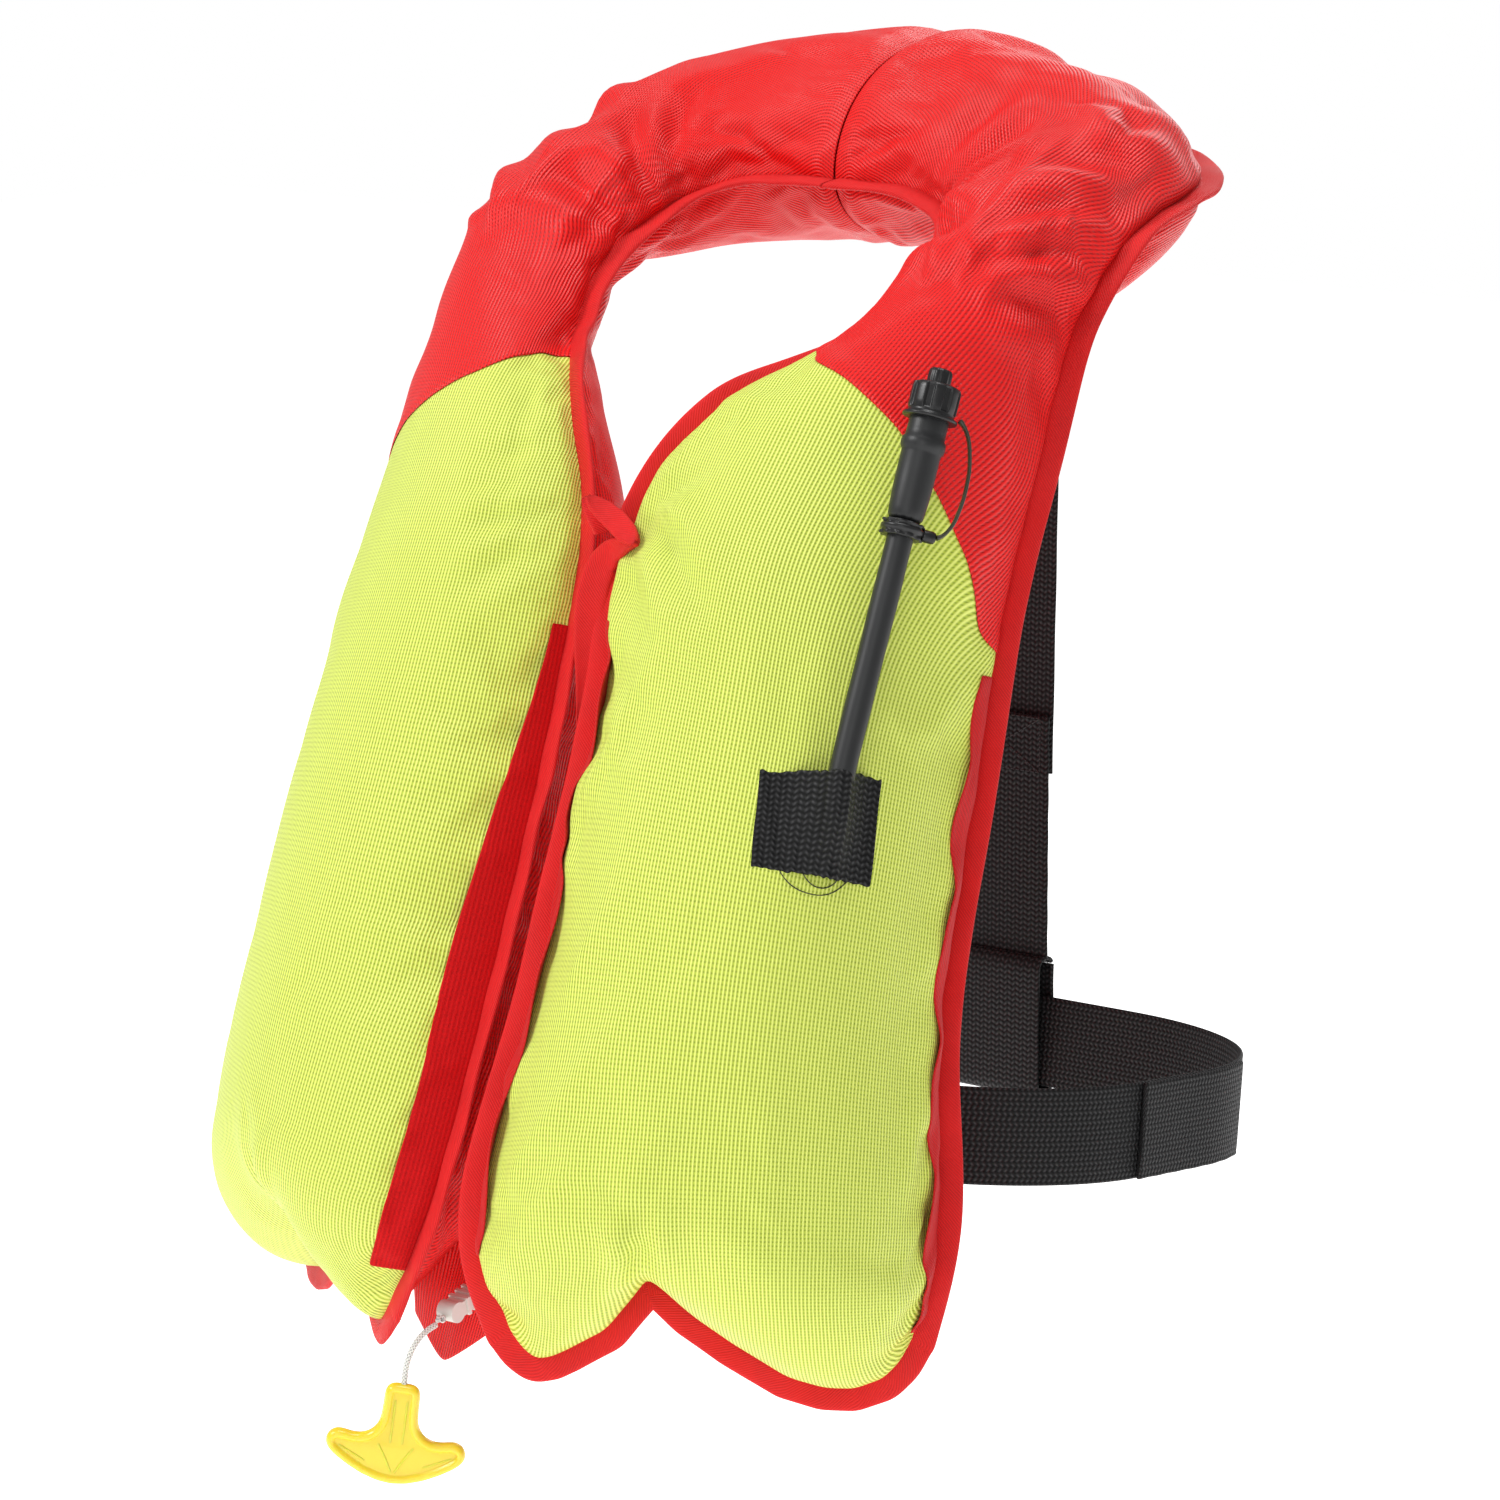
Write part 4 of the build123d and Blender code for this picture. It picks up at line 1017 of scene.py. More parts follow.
tubeSet = {
    "foot": (139.6, -108.0, -151.0), "tip": (140.6, -45.0, -3.8), "across": (0.713, 0.688, -0.145),
    "out": (0.69, -0.649, 0.32), "radius": 5.25, "valve": 7.7, "keeperAt": (129.9, -109.8, -170.7),
}
tubeFoot, tubeTip = vec(*tubeSet["foot"]), vec(*tubeSet["tip"])
tubeDir = unit(tubeTip - tubeFoot)
tubeLong = float(np.linalg.norm(tubeTip - tubeFoot))
tubeX = unit(vec(*tubeSet["across"]) - tubeDir * (vec(*tubeSet["across"]) @ tubeDir))
tubeY = np.cross(tubeDir, tubeX)
valveStart, valveEnd = tubeLong - 58, tubeLong - 14


def turned(name, rows, segments=48, shape=None, hollowEnd=False, origin=None, axis=None, xAxis=None):
    origin = tubeFoot if origin is None else origin
    axis = tubeDir if axis is None else axis
    xAxis = tubeX if xAxis is None else xAxis
    yAxis = np.cross(axis, xAxis)
    around = np.linspace(0, 2 * math.pi, segments, endpoint=False)
    points = []
    for r, z in rows:
        radius = np.full(segments, float(r))
        if shape is not None:
            radius = shape(radius, z, around)
        points.append(origin + axis * z + np.outer(np.cos(around) * radius, xAxis)
                      + np.outer(np.sin(around) * radius, yAxis))
    points = np.array(points) * mm
    faces = [f[::-1] for f in gridFaces(len(rows), segments, wrapColumns=True)]
    faces.append(tuple(range(segments)))
    if not hollowEnd:
        faces.append(tuple((len(rows) - 1) * segments + k for k in reversed(range(segments))))
    uvs = np.stack(np.broadcast_arrays(around[None, :] * rows[len(rows) // 2][0] * mm,
                                       np.array([z for _, z in rows])[:, None] * mm), -1)
    return meshPiece(name, points.reshape(-1, 3), faces, uvs.reshape(-1, 2))


def hose():  # one soft tube from inside the keeper to the valve housing
    down = np.cross(vec(*tubeSet["out"]), unit(vec(*tubeSet["across"])))
    keeperUp = unit(down if down @ tubeDir > 0 else -down)
    inward = -unit(vec(*tubeSet["out"]))
    path = [tubeFoot - keeperUp * 24 + inward * 14, tubeFoot - keeperUp * 17 + inward * 7,
            tubeFoot - keeperUp * 10 + inward * 2, tubeFoot - keeperUp * 4, tubeFoot + tubeDir * 4]
    path += [tubeFoot + tubeDir * z for z in np.linspace(10, valveStart + 2, 16)]
    path = evenly(np.array(path), 2.4)
    path = blur(path, 1.5, 0)
    tangent = unit(np.gradient(path, axis=0))
    sideways = unit(np.cross(tangent, np.cross(tubeX, tangent)))
    upward = np.cross(tangent, sideways)
    around = np.linspace(0, 2 * math.pi, 33)[:-1]
    rows = []
    for k in range(len(path)):
        share = k / (len(path) - 1)
        r = tubeSet["radius"] * (1 + 0.012 * math.sin(k * 0.35)) * (1 if share > 0.02 else 0.9)
        rows.append(np.stack([np.cos(around), np.sin(around)], -1) * r * mm)
    piece = sweepPiece("oral_hose", path * mm, sideways, upward, np.array(rows))
    paint(piece, blackRubber)
    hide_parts("oral_tube", "tube_root")
    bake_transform(piece)


hose()


def valveParts():
    r = tubeSet["valve"]
    rows = [(5.4, valveStart - 0.4), (6.2, valveStart), (6.9, valveStart + 1.2), (7.2, valveStart + 4),
            (r - 0.2, valveStart + 9), (r, valveStart + 16), (r, valveStart + 26),
            (r + 0.15, valveStart + 27), (r + 0.9, valveStart + 28.2), (r + 1.1, valveStart + 30),
            (r + 0.9, valveStart + 31.6), (r + 0.1, valveStart + 32.6), (r, valveStart + 35),
            (r, valveEnd - 1), (r - 0.5, valveEnd), (r - 2.4, valveEnd), (r - 3.0, valveEnd - 0.8),
            (r - 3.2, valveEnd - 10)]
    housing = turned("valve_sleeve", rows)
    paint(housing, blackRubber)
    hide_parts("valve_housing")
    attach(housing, "tube")

    z = valveStart - 4

    def slotted(radius, height, around):  # notched rim all round the collar
        rim = 1 if abs(height - z) > 1.9 else 0
        gear = smooth((np.cos(10 * around) + 0.25) / 0.5)
        return radius - rim * 0.9 * (1 - gear) * (radius > 6.5)

    rows = [(5.4, z - 3), (7.0, z - 3.1), (8.4, z - 3), (8.6, z - 2.6), (8.5, z - 2.0), (7.9, z - 1.6),
            (7.9, z - 0.9), (8.5, z - 0.5), (8.6, z + 0.4), (8.5, z + 0.9), (7.9, z + 1.3), (7.9, z + 1.9),
            (8.5, z + 2.3), (8.6, z + 2.7), (8.3, z + 3.0), (6.8, z + 3.1), (5.4, z + 3)]
    ring = turned("tether_collar", rows, 80, slotted)
    paint(ring, blackPlastic)
    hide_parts("tether_ring")
    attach(ring, "tube")
    lugRows = [(0.2, 8.0), (2.3, 8.0), (2.5, 8.6), (2.5, 11.8), (2.2, 12.9), (1.4, 13.4), (0.2, 13.5)]
    lug = turned("tether_lug", lugRows, 24, None, False, tubeFoot + tubeDir * z, tubeX, tubeDir)
    paint(lug, blackPlastic)
    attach(lug, "tube")

    def castle(radius, height, around):
        flute = smooth((np.cos(8 * around) + 0.55) / 0.4)
        onRim = 1 if valveEnd - 0.6 < height < valveEnd + 9.2 else 0
        return radius * (1 - 0.115 * onRim * (1 - flute))

    def knurl(radius, height, around):
        return radius * (1 + 0.045 * np.cos(12 * around) * (radius > 3.4))

    e = valveEnd
    rows = [(8.0, e - 4.2), (9.4, e - 4.3), (10.6, e - 4.1), (10.9, e - 3.4), (10.6, e - 2.7),
            (9.5, e - 2.4), (9.1, e - 1.6), (9.2, e - 0.8), (9.5, e - 0.2), (9.6, e + 2), (9.6, e + 7),
            (9.5, e + 8.6), (9.1, e + 9.3), (8.0, e + 9.8), (6.0, e + 10), (5.0, e + 10)]
    cap = turned("cap_crown", rows, 96, castle)
    knobRows = [(4.4, e + 9.6), (4.5, e + 10.4), (4.55, e + 12), (4.5, e + 14.6), (4.2, e + 15.6),
                (3.5, e + 16.1), (2.0, e + 16.2), (0.3, e + 16.2)]
    knob = turned("cap_knob", knobRows, 60, knurl)
    for piece in (cap, knob):
        paint(piece, blackPlastic)
        modifier(piece, "BEVEL", width=0.2 * mm, segments=2, limit_method="ANGLE",
                 angle_limit=math.radians(40))
        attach(piece, "cap")
    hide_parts("dust_cap")

    # arched tether, a flat strip that is thicker where it meets the collar and the cap
    arch = np.array([(12.6, z), (15.5, z + 0.6), (19.0, z + 7), (20.4, z + 18), (20.0, z + 29),
                     (17.2, z + 40), (13.4, z + 46), (10.4, z + 47.2)], float)
    arch = blur(evenly(arch, 1.0), 2.5, 0)
    path = tubeFoot + arch[:, :1] * tubeX + arch[:, 1:] * tubeDir
    tangent = unit(np.gradient(path, axis=0))
    wideWay = np.broadcast_to(tubeY, tangent.shape)
    outWay = np.cross(tangent, wideWay)
    shares = np.linspace(0, 1, len(path))
    fat = 1 + 0.5 * bell(shares, 0.06) + 0.5 * bell(shares - 1, 0.06)
    oval = np.array([(-1.7, 0), (-1.5, 0.5), (-0.7, 0.75), (0.7, 0.75), (1.5, 0.5), (1.7, 0), (1.5, -0.5),
                     (0.7, -0.75), (-0.7, -0.75), (-1.5, -0.5)])
    profile = oval[None] * fat[:, None, None] * mm
    tether = sweepPiece("cap_strap", path * mm, wideWay, outWay, profile)
    paint(tether, oliveRubber)
    modifier(tether, "SUBSURF", levels=1, render_levels=1)
    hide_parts("cap_tether")
    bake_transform(tether)


valveParts()


def keeperPatch(s):  # webbing patch pulled over the hose's foot and sewn to the lobe
    at, out = vec(*s["keeperAt"]), unit(vec(*s["out"]))
    across = unit(vec(*s["across"]) - out * (vec(*s["across"]) @ out))
    up = np.cross(out, across)
    foot = tubeFoot - at
    hump = (foot @ across, foot @ out)
    xs = np.concatenate([np.linspace(-24, hump[0] - 9, 14)[:-1], np.linspace(hump[0] - 9, hump[0] + 9, 21),
                         np.linspace(hump[0] + 9, 24, 8)[1:]])
    ys = np.linspace(-20, 20, 25)
    grid = np.empty((len(ys), len(xs), 3))
    rng = np.random.default_rng(11)
    ragged = 0.5 * rng.standard_normal((2, len(xs)))
    reach = s["radius"] + 0.6
    for r, y in enumerate(ys):
        bed = []
        for x in xs:
            start = Vector((at + across * x + up * y + out * 30) * mm)
            hit = clothTrees[1].ray_cast(start, Vector(-out))
            bed.append(30 - hit[3] / mm if hit[0] is not None else 0.0)
        bed = blur(np.array(bed), 1.5, 0) + 1.0
        off = xs - hump[0]
        sunk = 11.0 * (1 - smooth((y + 19) / 26))
        ball = np.where(np.abs(off) < reach, hump[1] - sunk + np.sqrt(np.maximum(reach**2 - off**2, 0)), -99)
        peak = np.maximum(hump[1] - sunk + reach, bed + 0.6)
        reachLeft, reachRight = 19.0, 14.0
        ramp = np.where(off < 0, 1 + off / reachLeft, 1 - off / reachRight)
        tent = bed + (peak - bed) * np.clip(ramp, 0, 1) ** 1.15
        height = np.maximum(np.maximum(ball, bed), tent)
        height = blur(height, 1.0, 0) + 0.25 * np.sin(xs * 0.9 + y * 0.2)
        yy = np.full(len(xs), y)
        if r in (0, len(ys) - 1):
            yy = yy + ragged[0 if r == 0 else 1]
        yy = yy + 0.9 * np.sin(xs / 15.0) * (y / 20)
        grid[r] = at + np.outer(xs, across) + np.outer(yy, up) + np.outer(height, out)
    grid *= mm
    uvs = np.stack(np.broadcast_arrays((xs * mm)[None, :], (ys * mm)[:, None]), -1)
    piece = gridPiece("hose_keeper", grid, uvs, flip=True)
    paint(piece, webbing)
    modifier(piece, "SOLIDIFY", thickness=1.7 * mm, offset=1)
    modifier(piece, "SUBSURF", levels=2, render_levels=2)
    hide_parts("tube_keeper")
    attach(piece, "root")
    threads = bpy.data.curves.new("keeper_thread", "CURVE")
    threads.dimensions, threads.bevel_depth, threads.bevel_resolution = "3D", 0.22 * mm, 2
    loops = [[(-13, -19.5), (-9, -24.5), (0, -27.5), (9, -26.5), (14, -20.0)],
             [(-4, -19.5), (-1, -23.0), (5, -25.0), (9, -22.0), (10, -19.5)]]
    for loop in loops:
        spline = threads.splines.new("NURBS")
        spline.points.add(len(loop) - 1)
        for point, (x, y) in zip(spline.points, loop):
            start = Vector((at + across * x + up * y + out * 30) * mm)
            hit = clothTrees[1].ray_cast(start, Vector(-out))
            height = (30 - hit[3] / mm if hit[0] is not None else 0.0) + 0.9 + (2.5 if y > -20 else 0)
            point.co = (*((at + across * x + up * y + out * height) * mm), 1)
        spline.order_u = 4
        spline.use_endpoint_u = True
    thread = bpy.data.objects.new("keeper_thread", threads)
    scene.collection.objects.link(thread)
    thread.data.materials.append(blackPlastic)
    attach(thread, "root")
    return piece


keeperPatch(tubeSet)
print("inflation tube made")


# webbing: back strap, waist belt and their loops

beltSet = {
    "centre": (0, 84, -326), "halfWidth": 168.0, "halfDepth": 122.8, "corner": 100.0, "rise": 0.115,
    "width": 40.0, "strap": 47.0, "thick": 1.9,
}
beltUp = unit(vec(0, beltSet["rise"], 1))
beltBack = np.cross(beltUp, vec(1, 0, 0))
beltCentre = vec(*beltSet["centre"])
strapY = beltSet["centre"][1] + beltSet["halfDepth"] * 0.993  # the strap hangs just inside the belt


def webStrip(name, path, widthWay, width, node, thick=None, body="root", smoothing=2.0, material=None):
    thick = beltSet["thick"] if thick is None else thick
    path = evenly(np.asarray(path, float), 2.5)
    path = blur(path, smoothing, 0) if smoothing else path
    tangent = unit(np.gradient(path, axis=0))
    widthWay = np.broadcast_to(unit(vec(*widthWay)), tangent.shape)
    widthWay = unit(widthWay - tangent * (widthWay * tangent).sum(-1, keepdims=True))
    upward = np.cross(tangent, widthWay)
    half, h = width / 2, thick / 2
    across = [-half, -half + 0.25, -half + 0.9, -half + 1.8, -half + 3.2]
    across = np.array(across + list(np.linspace(-half + 6, half - 6, 9)) + [-a for a in across[::-1]])
    tall = np.array([0.0, 0.7, 1.0, 0.9, 0.96] + [1.0] * 9 + [0.96, 0.9, 1.0, 0.7, 0.0]) * h
    top = np.stack([across, tall], -1)
    low = np.stack([across[::-1], -tall[::-1]], -1)[1:-1]
    profile = np.concatenate([top, low])
    run = np.linspace(0, 1, len(path))
    wobble = 1 + 0.004 * np.sin(run * 40 + len(name))
    rows = profile[None] * np.stack([wobble, np.ones_like(wobble)], -1)[:, None]
    piece = sweepPiece(name, path * mm, widthWay, upward, rows * mm)
    paint(piece, material or webbing)
    if node:
        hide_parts(*([node] if isinstance(node, str) else node))
    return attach(piece, body)


def beltPath(lift, step=2.0):  # round the rounded rectangle, from its front corner on the wearer's left
    wide, deep, corner = (beltSet["halfWidth"] + lift, beltSet["halfDepth"] + lift, beltSet["corner"] + lift)
    loop = []
    for cx, cy, start in ((wide - corner, -(deep - corner), 270), (wide - corner, deep - corner, 0),
                          (-(wide - corner), deep - corner, 90), (-(wide - corner), -(deep - corner), 180)):
        for a in np.radians(np.linspace(start, start + 90, 40)):
            loop.append((cx + corner * math.cos(a), cy + corner * math.sin(a)))
    return evenly(np.array(loop + loop[:1]), step)


def inBeltPlane(x, y, z=0.0):
    x, y, z = np.broadcast_arrays(np.asarray(x, float), np.asarray(y, float), z)
    return beltCentre + x[..., None] * vec(1, 0, 0) + y[..., None] * beltBack + z[..., None] * beltUp


def waistBelt():
    loop = beltPath(0)
    front = -beltSet["halfDepth"]
    start = np.array([(44.3, front), (56.0, front)])
    tail = np.array([(-66.0, front), (-75.0, front)])
    ring = loop[(loop[:, 0] > 60) | (loop[:, 1] > front + 0.5)]
    ring = ring[~((np.abs(ring[:, 0]) < 60) & (ring[:, 1] < 0))]
    flat = np.concatenate([start, ring, tail])
    webStrip("waist_webbing", inBeltPlane(flat[:, 0], flat[:, 1]), beltUp, beltSet["width"], "waist_belt")
    lifted = beltPath(2.25)
    side = lifted[(lifted[:, 0] > beltSet["halfWidth"] - 38) & (lifted[:, 1] > -29) & (lifted[:, 1] < 61)]
    webStrip("side_doubling", inBeltPlane(side[:, 0], side[:, 1]), beltUp, beltSet["width"], "belt_doubling")
    y = front - 6.8
    webStrip("buckle_end", inBeltPlane([34.6, 45, 61.4], [y, y, y]), beltUp, beltSet["width"], "belt_end")
    webStrip("plug_tail", inBeltPlane([-38.6, -60, -80, -98], [front - 2.6] * 4), beltUp, beltSet["width"],
             "plug_webbing", body="plug")


waistBelt()


def backStrap():
    webStrip("upper_strap", [(0, strapY + 9.3, 71.4), (0, strapY + 7.5, 60.0), (0, strapY + 6.4, 0),
                             (0, strapY + 4.4, -110), (0, strapY + 2.6, -221.6)],
             (1, 0, 0), beltSet["strap"], "back_strap")
    webStrip("strap_overlap", [(0, strapY - 0.2, -192.4), (0, strapY - 0.2, -250),
                               (0, strapY + 0.2, -305.0)], (1, 0, 0),
             beltSet["strap"], "lower_strap")
    loopY, low, high = strapY - 0.2, -366.2 + 1.0, -301.2 - 1.0
    ring = []
    for cy, cz, start in ((3.0, high - 3.2, 0), (-3.0, high - 3.2, 90), (-3.0, low + 3.2, 180),
                          (3.0, low + 3.2, 270)):
        for a in np.radians(np.linspace(start, start + 90, 9)):
            ring.append((0, loopY + cy + 2.5 * math.cos(a), cz + 2.9 * math.sin(a)))
    ring.append(ring[0])
    webStrip("belt_sleeve", ring, (1, 0, 0), beltSet["strap"], "belt_loop", smoothing=0.8)
    webStrip("anchor_patch", [(-30, 216.2, 72.0), (0, 216.2, 72.2), (30, 216.2, 72.0)], (0, 1, 0), 10,
             "strap_anchor", thick=1.5)
    frontY = -beltSet["halfDepth"]
    ring = []
    for cy, cz, start in ((4.4, 20.6, 0), (-4.4, 20.6, 90), (-4.4, -20.6, 180), (4.4, -20.6, 270)):
        for a in np.radians(np.linspace(start, start + 90, 7)):
            ring.append(inBeltPlane(-84.0, frontY - 0.8 + cy + 1.6 * math.cos(a), cz + 1.6 * math.sin(a)))
    ring.append(ring[0])
    webStrip("elastic_keeper", np.array(ring), (1, 0, 0), 12, "belt_keeper", thick=1.2, smoothing=0.5)


backStrap()


def sewnBox(name, centre, right, down, wide, tall, out, body="root"):
    corners = [(-wide / 2, -tall / 2), (wide / 2, -tall / 2), (wide / 2, tall / 2), (-wide / 2, tall / 2)]
    lines = [(corners[k], corners[(k + 1) % 4]) for k in range(4)] + [(corners[0], corners[2]),
                                                                      (corners[1], corners[3])]
    vertices, faces = [], []
    for a, b in lines:
        a, b = vec(*a), vec(*b)
        count = max(2, int(np.linalg.norm(b - a) / 2.6))
        flow = unit(b - a)
        aside = vec(-flow[1], flow[0])
        for k in range(count):
            p0, p1 = a + (b - a) * (k + 0.14) / count, a + (b - a) * (k + 0.86) / count
            start = len(vertices)
            for p, end in ((p0, 1), ((p0 + p1) / 2, 0), (p1, 1)):
                for x, h in ((-0.28, 0.0), (0, 0.42), (0.28, 0.0)):
                    q = p + aside * x
                    vertices.append(tuple((centre + right * q[0] + down * q[1]
                                           + out * (h * (1 - 0.5 * end) + 0.05)) * mm))
            for r in range(2):
                for c in range(2):
                    i = start + r * 3 + c
                    faces.append((i, i + 1, i + 4, i + 3))
    piece = meshPiece(name, vertices, faces)
    paint(piece, blackPlastic)
    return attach(piece, body)


def strapStitching():
    for sign, offset in ((1, 3.75), (-1, -1.3)):
        sewnBox("overlap_stitch_" + ("back" if sign > 0 else "front"), vec(0, strapY + offset, -207),
                vec(1, 0, 0), vec(0, 0, 1), 39, 24, vec(0, sign, 0))
    sewnBox("sleeve_stitch", vec(0, strapY + 6.4, -309.5), vec(1, 0, 0), vec(0, 0, 1), 39, 8, vec(0, 1, 0))


strapStitching()
print("webbing made")


# buckle, inflator and the other carried parts keep their shape and get their finish

finishes = {
    "valve_poppet": blackPlastic, "valve_spring": brushedSteel, "buckle_socket": blackPlastic,
    "buckle_plug": blackPlastic, "upper_prong": blackPlastic, "lower_prong": blackPlastic,
    "inflator_body": blackPlastic, "gas_cylinder": brushedSteel, "firing_pin": brushedSteel,
    "firing_spring": brushedSteel, "lever": greyPlastic, "lever_pin": brushedSteel,
    "bladder_stem": stemRubber, "stem_nut": blackPlastic, "indicator_clip": greenPlastic,
}
for node, material in finishes.items():
    part = nodes[node]
    if part.material_slots:
        for slotHere in part.material_slots:
            slotHere.material = material
    else:
        part.data.materials.append(material)


# cloth tail behind the lobes' inner ends

tailSet = {"top": -352.0, "y": -146.0, "middle": -25.0}


def clothTail(s):
    us, vs = np.linspace(-1, 1, 21), np.linspace(0, 1, 27)
    grid = np.empty((len(vs), len(us), 3))
    for r, v in enumerate(vs):
        for c, u in enumerate(us):
            wide = 13.5 + 7.0 * smooth(v / 0.7)
            bottom = -403.5 + 15.0 * abs(u) ** 1.25
            z = s["top"] + (bottom - s["top"]) * v
            x = s["middle"] + 2.0 * v + u * wide
            y = s["y"] - 6.0 * v + 4.5 * u * u + 1.6 * math.sin(u * 3 + v * 4)
            grid[r, c] = (x, y, z)
    grid *= mm
    piece = gridPiece("cover_tail_cloth", grid, clothUvs(grid))
    paint(piece, redCloth)
    modifier(piece, "SOLIDIFY", thickness=1.6 * mm, offset=0)
    modifier(piece, "SUBSURF", levels=1, render_levels=1)
    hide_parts("cover_tail")
    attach(piece, "root")


clothTail(tailSet)
print("tail hung")


# crossing of the two bound edges at the breast, folded and sewn

facingView = unit(vec(0.589, -0.781, 0.208))
# middle lines of the three folds, each point with its half width and how far it stands off, millimetres
crossLine = [
    (-5.8, -79.8, -61.2, 0.6, 6.0), (-3.0, -79.0, -63.6, 3.2, 6.0), (0.8, -77.2, -66.6, 4.4, 7.0),
    (5.2, -74.8, -70.8, 4.9, 10.0), (9.4, -72.8, -76.0, 4.6, 16.0), (12.2, -71.6, -79.2, 2.8, 22.0),
    (13.4, -71.2, -80.0, 0.6, 24.0),
]
returnLine = [
    (13.4, -71.2, -80.0, 0.6, 23.5), (9.5, -74.5, -80.6, 3.4, 15.5), (5.0, -77.0, -82.6, 5.2, 7.5),
    (1.6, -78.6, -87.0, 6.0, 4.4), (-0.4, -80.4, -93.5, 6.4, 3.6), (-1.2, -82.4, -101.0, 6.6, 3.4),
    (-1.2, -84.6, -110.0, 6.2, 3.2), (-0.4, -87.2, -119.0, 5.2, 2.8), (0.8, -90.2, -130.0, 3.6, 2.2),
    (1.8, -94.0, -142.0, 1.8, 1.4), (2.6, -97.0, -150.0, 0.5, 0.6),
]
foldLine = [
    (-6.6, -81.0, -61.2, 0.4, 4.6), (-4.6, -80.2, -64.0, 2.8, 4.6), (-2.0, -79.4, -67.6, 4.0, 5.0),
    (0.4, -78.8, -71.4, 4.2, 5.0), (1.6, -78.8, -76.0, 3.2, 4.6),
]


def foldedTape(name, line, lean, node=None):
    both = blur(evenly(np.array(line, float), 0.9), 1.2, 0)
    path, half, push = both[:, :3], both[:, 3], both[:, 4]
    run = np.linspace(0, 1, len(path))
    path = path + facingView * push[:, None]
    tangent = unit(np.gradient(path, axis=0))
    aside = unit(np.cross(tangent, facingView))
    turned = lean[0] + (lean[1] - lean[0]) * run
    aside = aside * np.cos(turned)[:, None] + facingView * np.sin(turned)[:, None]
    aside = unit(aside - tangent * (aside * tangent).sum(-1, keepdims=True))
    upward = np.cross(aside, tangent)
    shape = np.array([(-1, 0), (-0.97, 0.7), (-0.8, 1.05), (-0.4, 0.85), (0, 0.8), (0.4, 0.85), (0.8, 1.05),
                      (0.97, 0.7), (1, 0), (0.97, -0.7), (0.8, -1), (0, -1), (-0.8, -1), (-0.97, -0.7)])
    rows = shape[None] * np.stack([half, np.full_like(half, 1.5)], -1)[:, None]
    piece = sweepPiece(name, path * mm, aside, upward, rows * mm)
    paint(piece, foldTwill)
    modifier(piece, "SUBSURF", levels=1, render_levels=1)
    if node:
        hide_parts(node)
    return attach(piece, "root")


foldedTape("crossing_tape", crossLine, (0.5, -0.3), "lobe_tie")
foldedTape("crossing_return", returnLine, (-0.4, 0.1))
foldedTape("crossing_fold", foldLine, (-0.6, 0.3))
print("crossing sewn")


# wall of cloth between the two halves at the centre back, so that no light shows through the seam

wallSet = {"inset": 1.0 * mm, "half": 1.7 * mm, "rings": 5}


def centreWall(s):
    front = clothMade["left_front_yoke"][1][0]
    back = clothMade["left_back_panel"][1][0]
    outline = np.concatenate([front, back[::-1][1:-1]])
    outline[:, 0] = 0
    middle = outline.mean(0)
    reach = np.linalg.norm(outline - middle, axis=1, keepdims=True)
    shrunk = middle + (outline - middle) * (1 - s["inset"] / np.maximum(reach, s["inset"]))
    rings = []
    for k in range(s["rings"] + 1):
        share = k / s["rings"]
        rim = middle + (shrunk - middle) * math.sin(share * math.pi / 2)
        rings.append(rim + vec(s["half"] * math.cos(share * math.pi / 2), 0, 0))
    rings += [r * vec(-1, 1, 1) for r in rings[-2::-1]]
    count = len(outline)
    rings = rings[1:-1]
    points = np.concatenate(rings + [[middle + vec(s["half"], 0, 0), middle - vec(s["half"], 0, 0)]])
    faces = gridFaces(len(rings), count, wrapColumns=True)
    first, last, end = count * len(rings), count * len(rings) + 1, count * (len(rings) - 1)
    faces += [(first, (k + 1) % count, k) for k in range(count)]
    faces += [(last, end + k, end + (k + 1) % count) for k in range(count)]
    uvs = points[:, 1:]
    piece = meshPiece("centre_wall", points, faces, uvs)
    paint(piece, redCloth)
    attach(piece, "root")


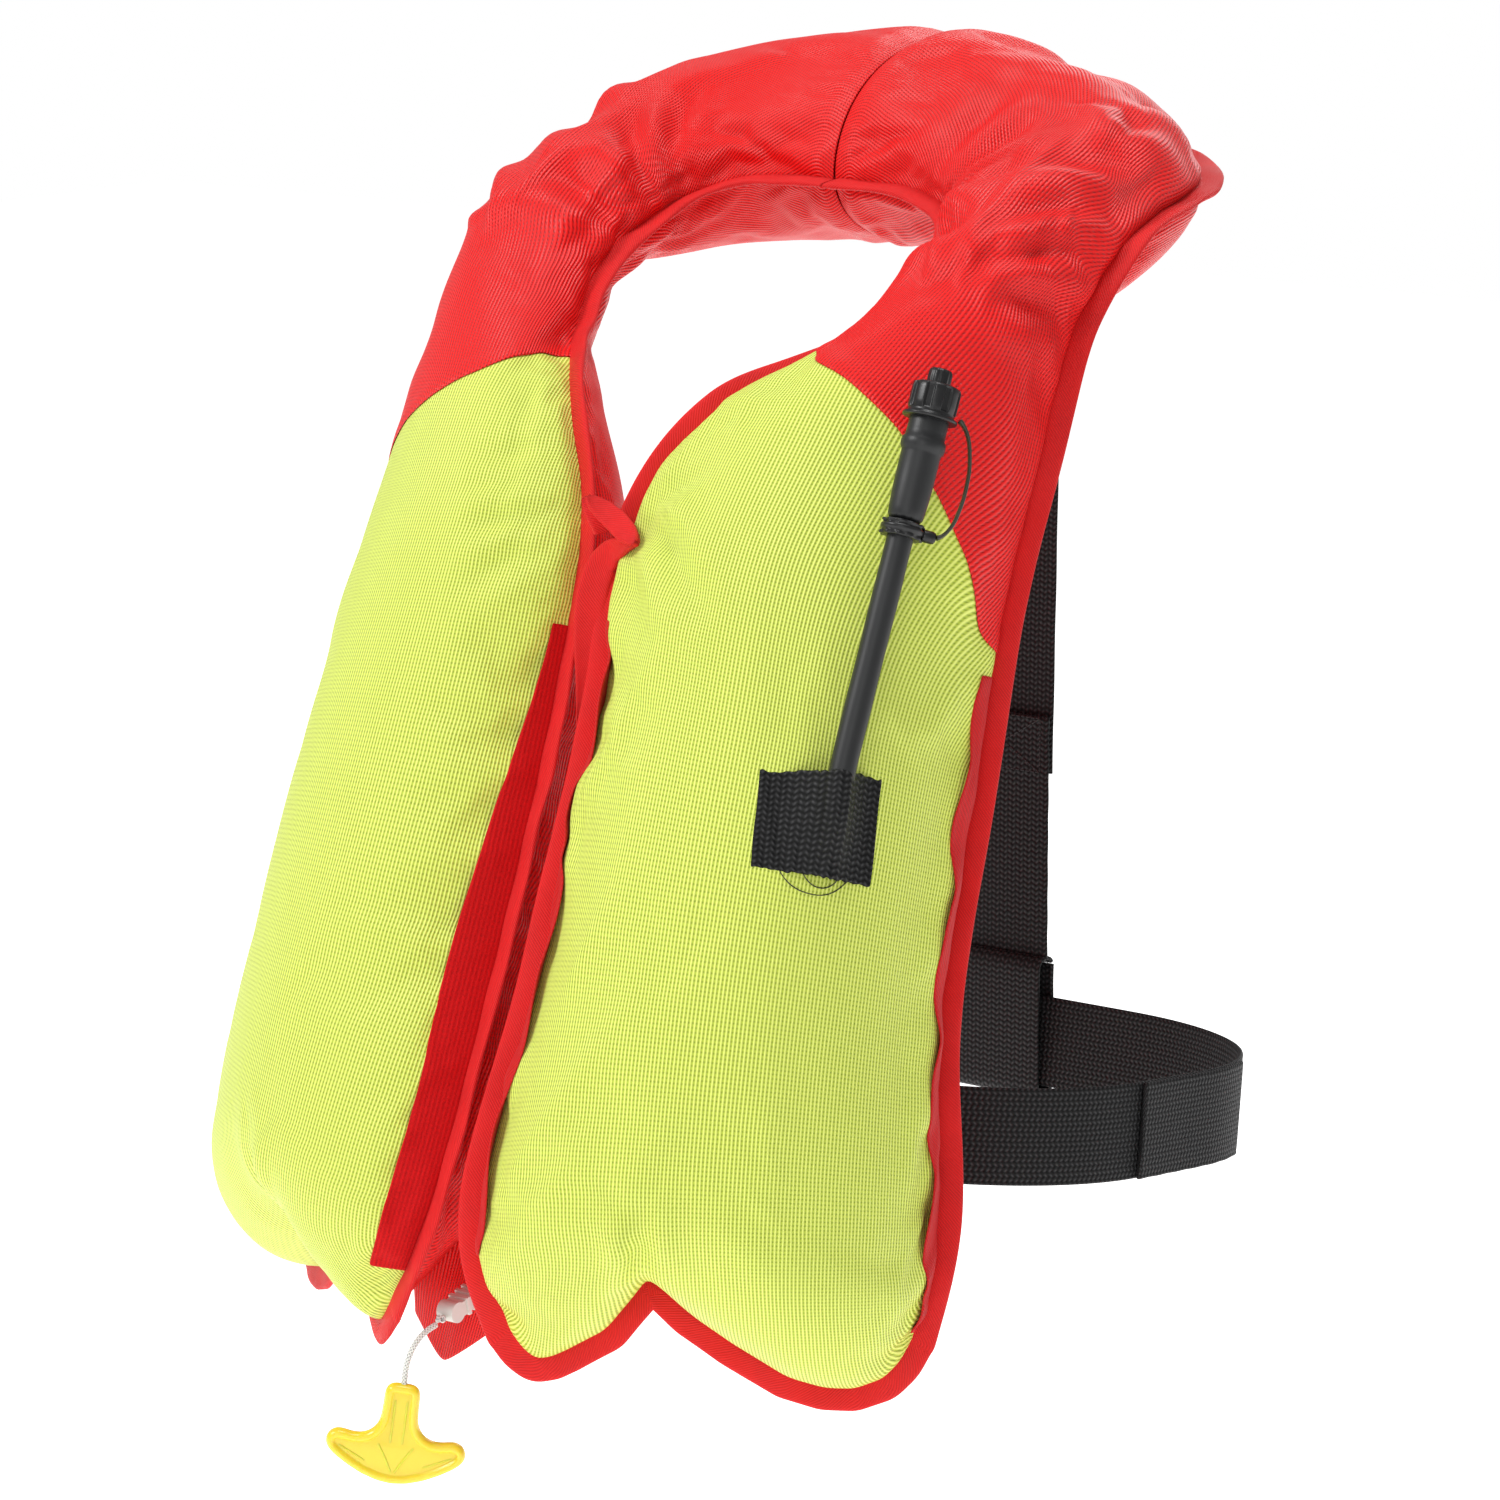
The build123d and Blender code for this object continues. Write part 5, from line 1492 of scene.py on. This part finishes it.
centreWall(wallSet)
print("centre seam closed")


# floor, light and sizes

studioSet = {"floorDrop": 0.13, "floor": (0.93, 0.93, 0.93), "world": 0.38}


def areaLight(name, place, aim, size, power):
    data = bpy.data.lights.new(name, "AREA")
    data.shape, data.size, data.energy = "DISK", size, power
    lamp = bpy.data.objects.new(name, data)
    scene.collection.objects.link(lamp)
    lamp.location = place
    lamp.rotation_mode = "QUATERNION"
    lamp.rotation_quaternion = (Vector(aim) - Vector(place)).to_track_quat("-Z", "Y")


world = bpy.data.worlds.new("studio")
scene.world = world
world.use_nodes = True
world.node_tree.nodes["Background"].inputs["Color"].default_value = (1, 1, 1, 1)
# the backdrop shows white, and lights a little less
lightPath = world.node_tree.nodes.new("ShaderNodeLightPath")
glow = world.node_tree.nodes.new("ShaderNodeMath")
glow.operation = "MULTIPLY_ADD"
glow.inputs[1].default_value, glow.inputs[2].default_value = 1 - studioSet["world"], studioSet["world"]
world.node_tree.links.new(lightPath.outputs["Is Camera Ray"], glow.inputs[0])
world.node_tree.links.new(glow.outputs[0], world.node_tree.nodes["Background"].inputs["Strength"])
areaLight("keyLight", (-1.2, -1.7, 1.7), (0, 0, -0.15), 1.0, 40)
areaLight("fillLight", (1.2, -2.2, 0.7), (0, 0, -0.15), 1.4, 9)
areaLight("topLight", (0.1, 0.3, 2.0), (0, 0, 0), 1.0, 20)
areaLight("rearLight", (-0.6, 2.2, 0.9), (0, 0, -0.1), 1.4, 10)
scene.view_settings.view_transform = "Standard"

floorFinish = Finish("paleFloor", Roughness=0.9, Emission_Color=(1, 1, 1, 1), Emission_Strength=0.66)
floorFinish.to("Base Color", floorFinish.between(srgb(0.98, 0.98, 0.98), srgb(1, 1, 1),
                                                 floorFinish.cloud(floorFinish.place(), 3.0)))
low = cadBox[0].z - studioSet["floorDrop"]
floor = meshPiece("floor", [(-4, -4, low), (4, -4, low), (4, 4, low), (-4, 4, low)], [(0, 1, 2, 3)])
floor.data.materials.append(floorFinish.material)

print("scene ready")
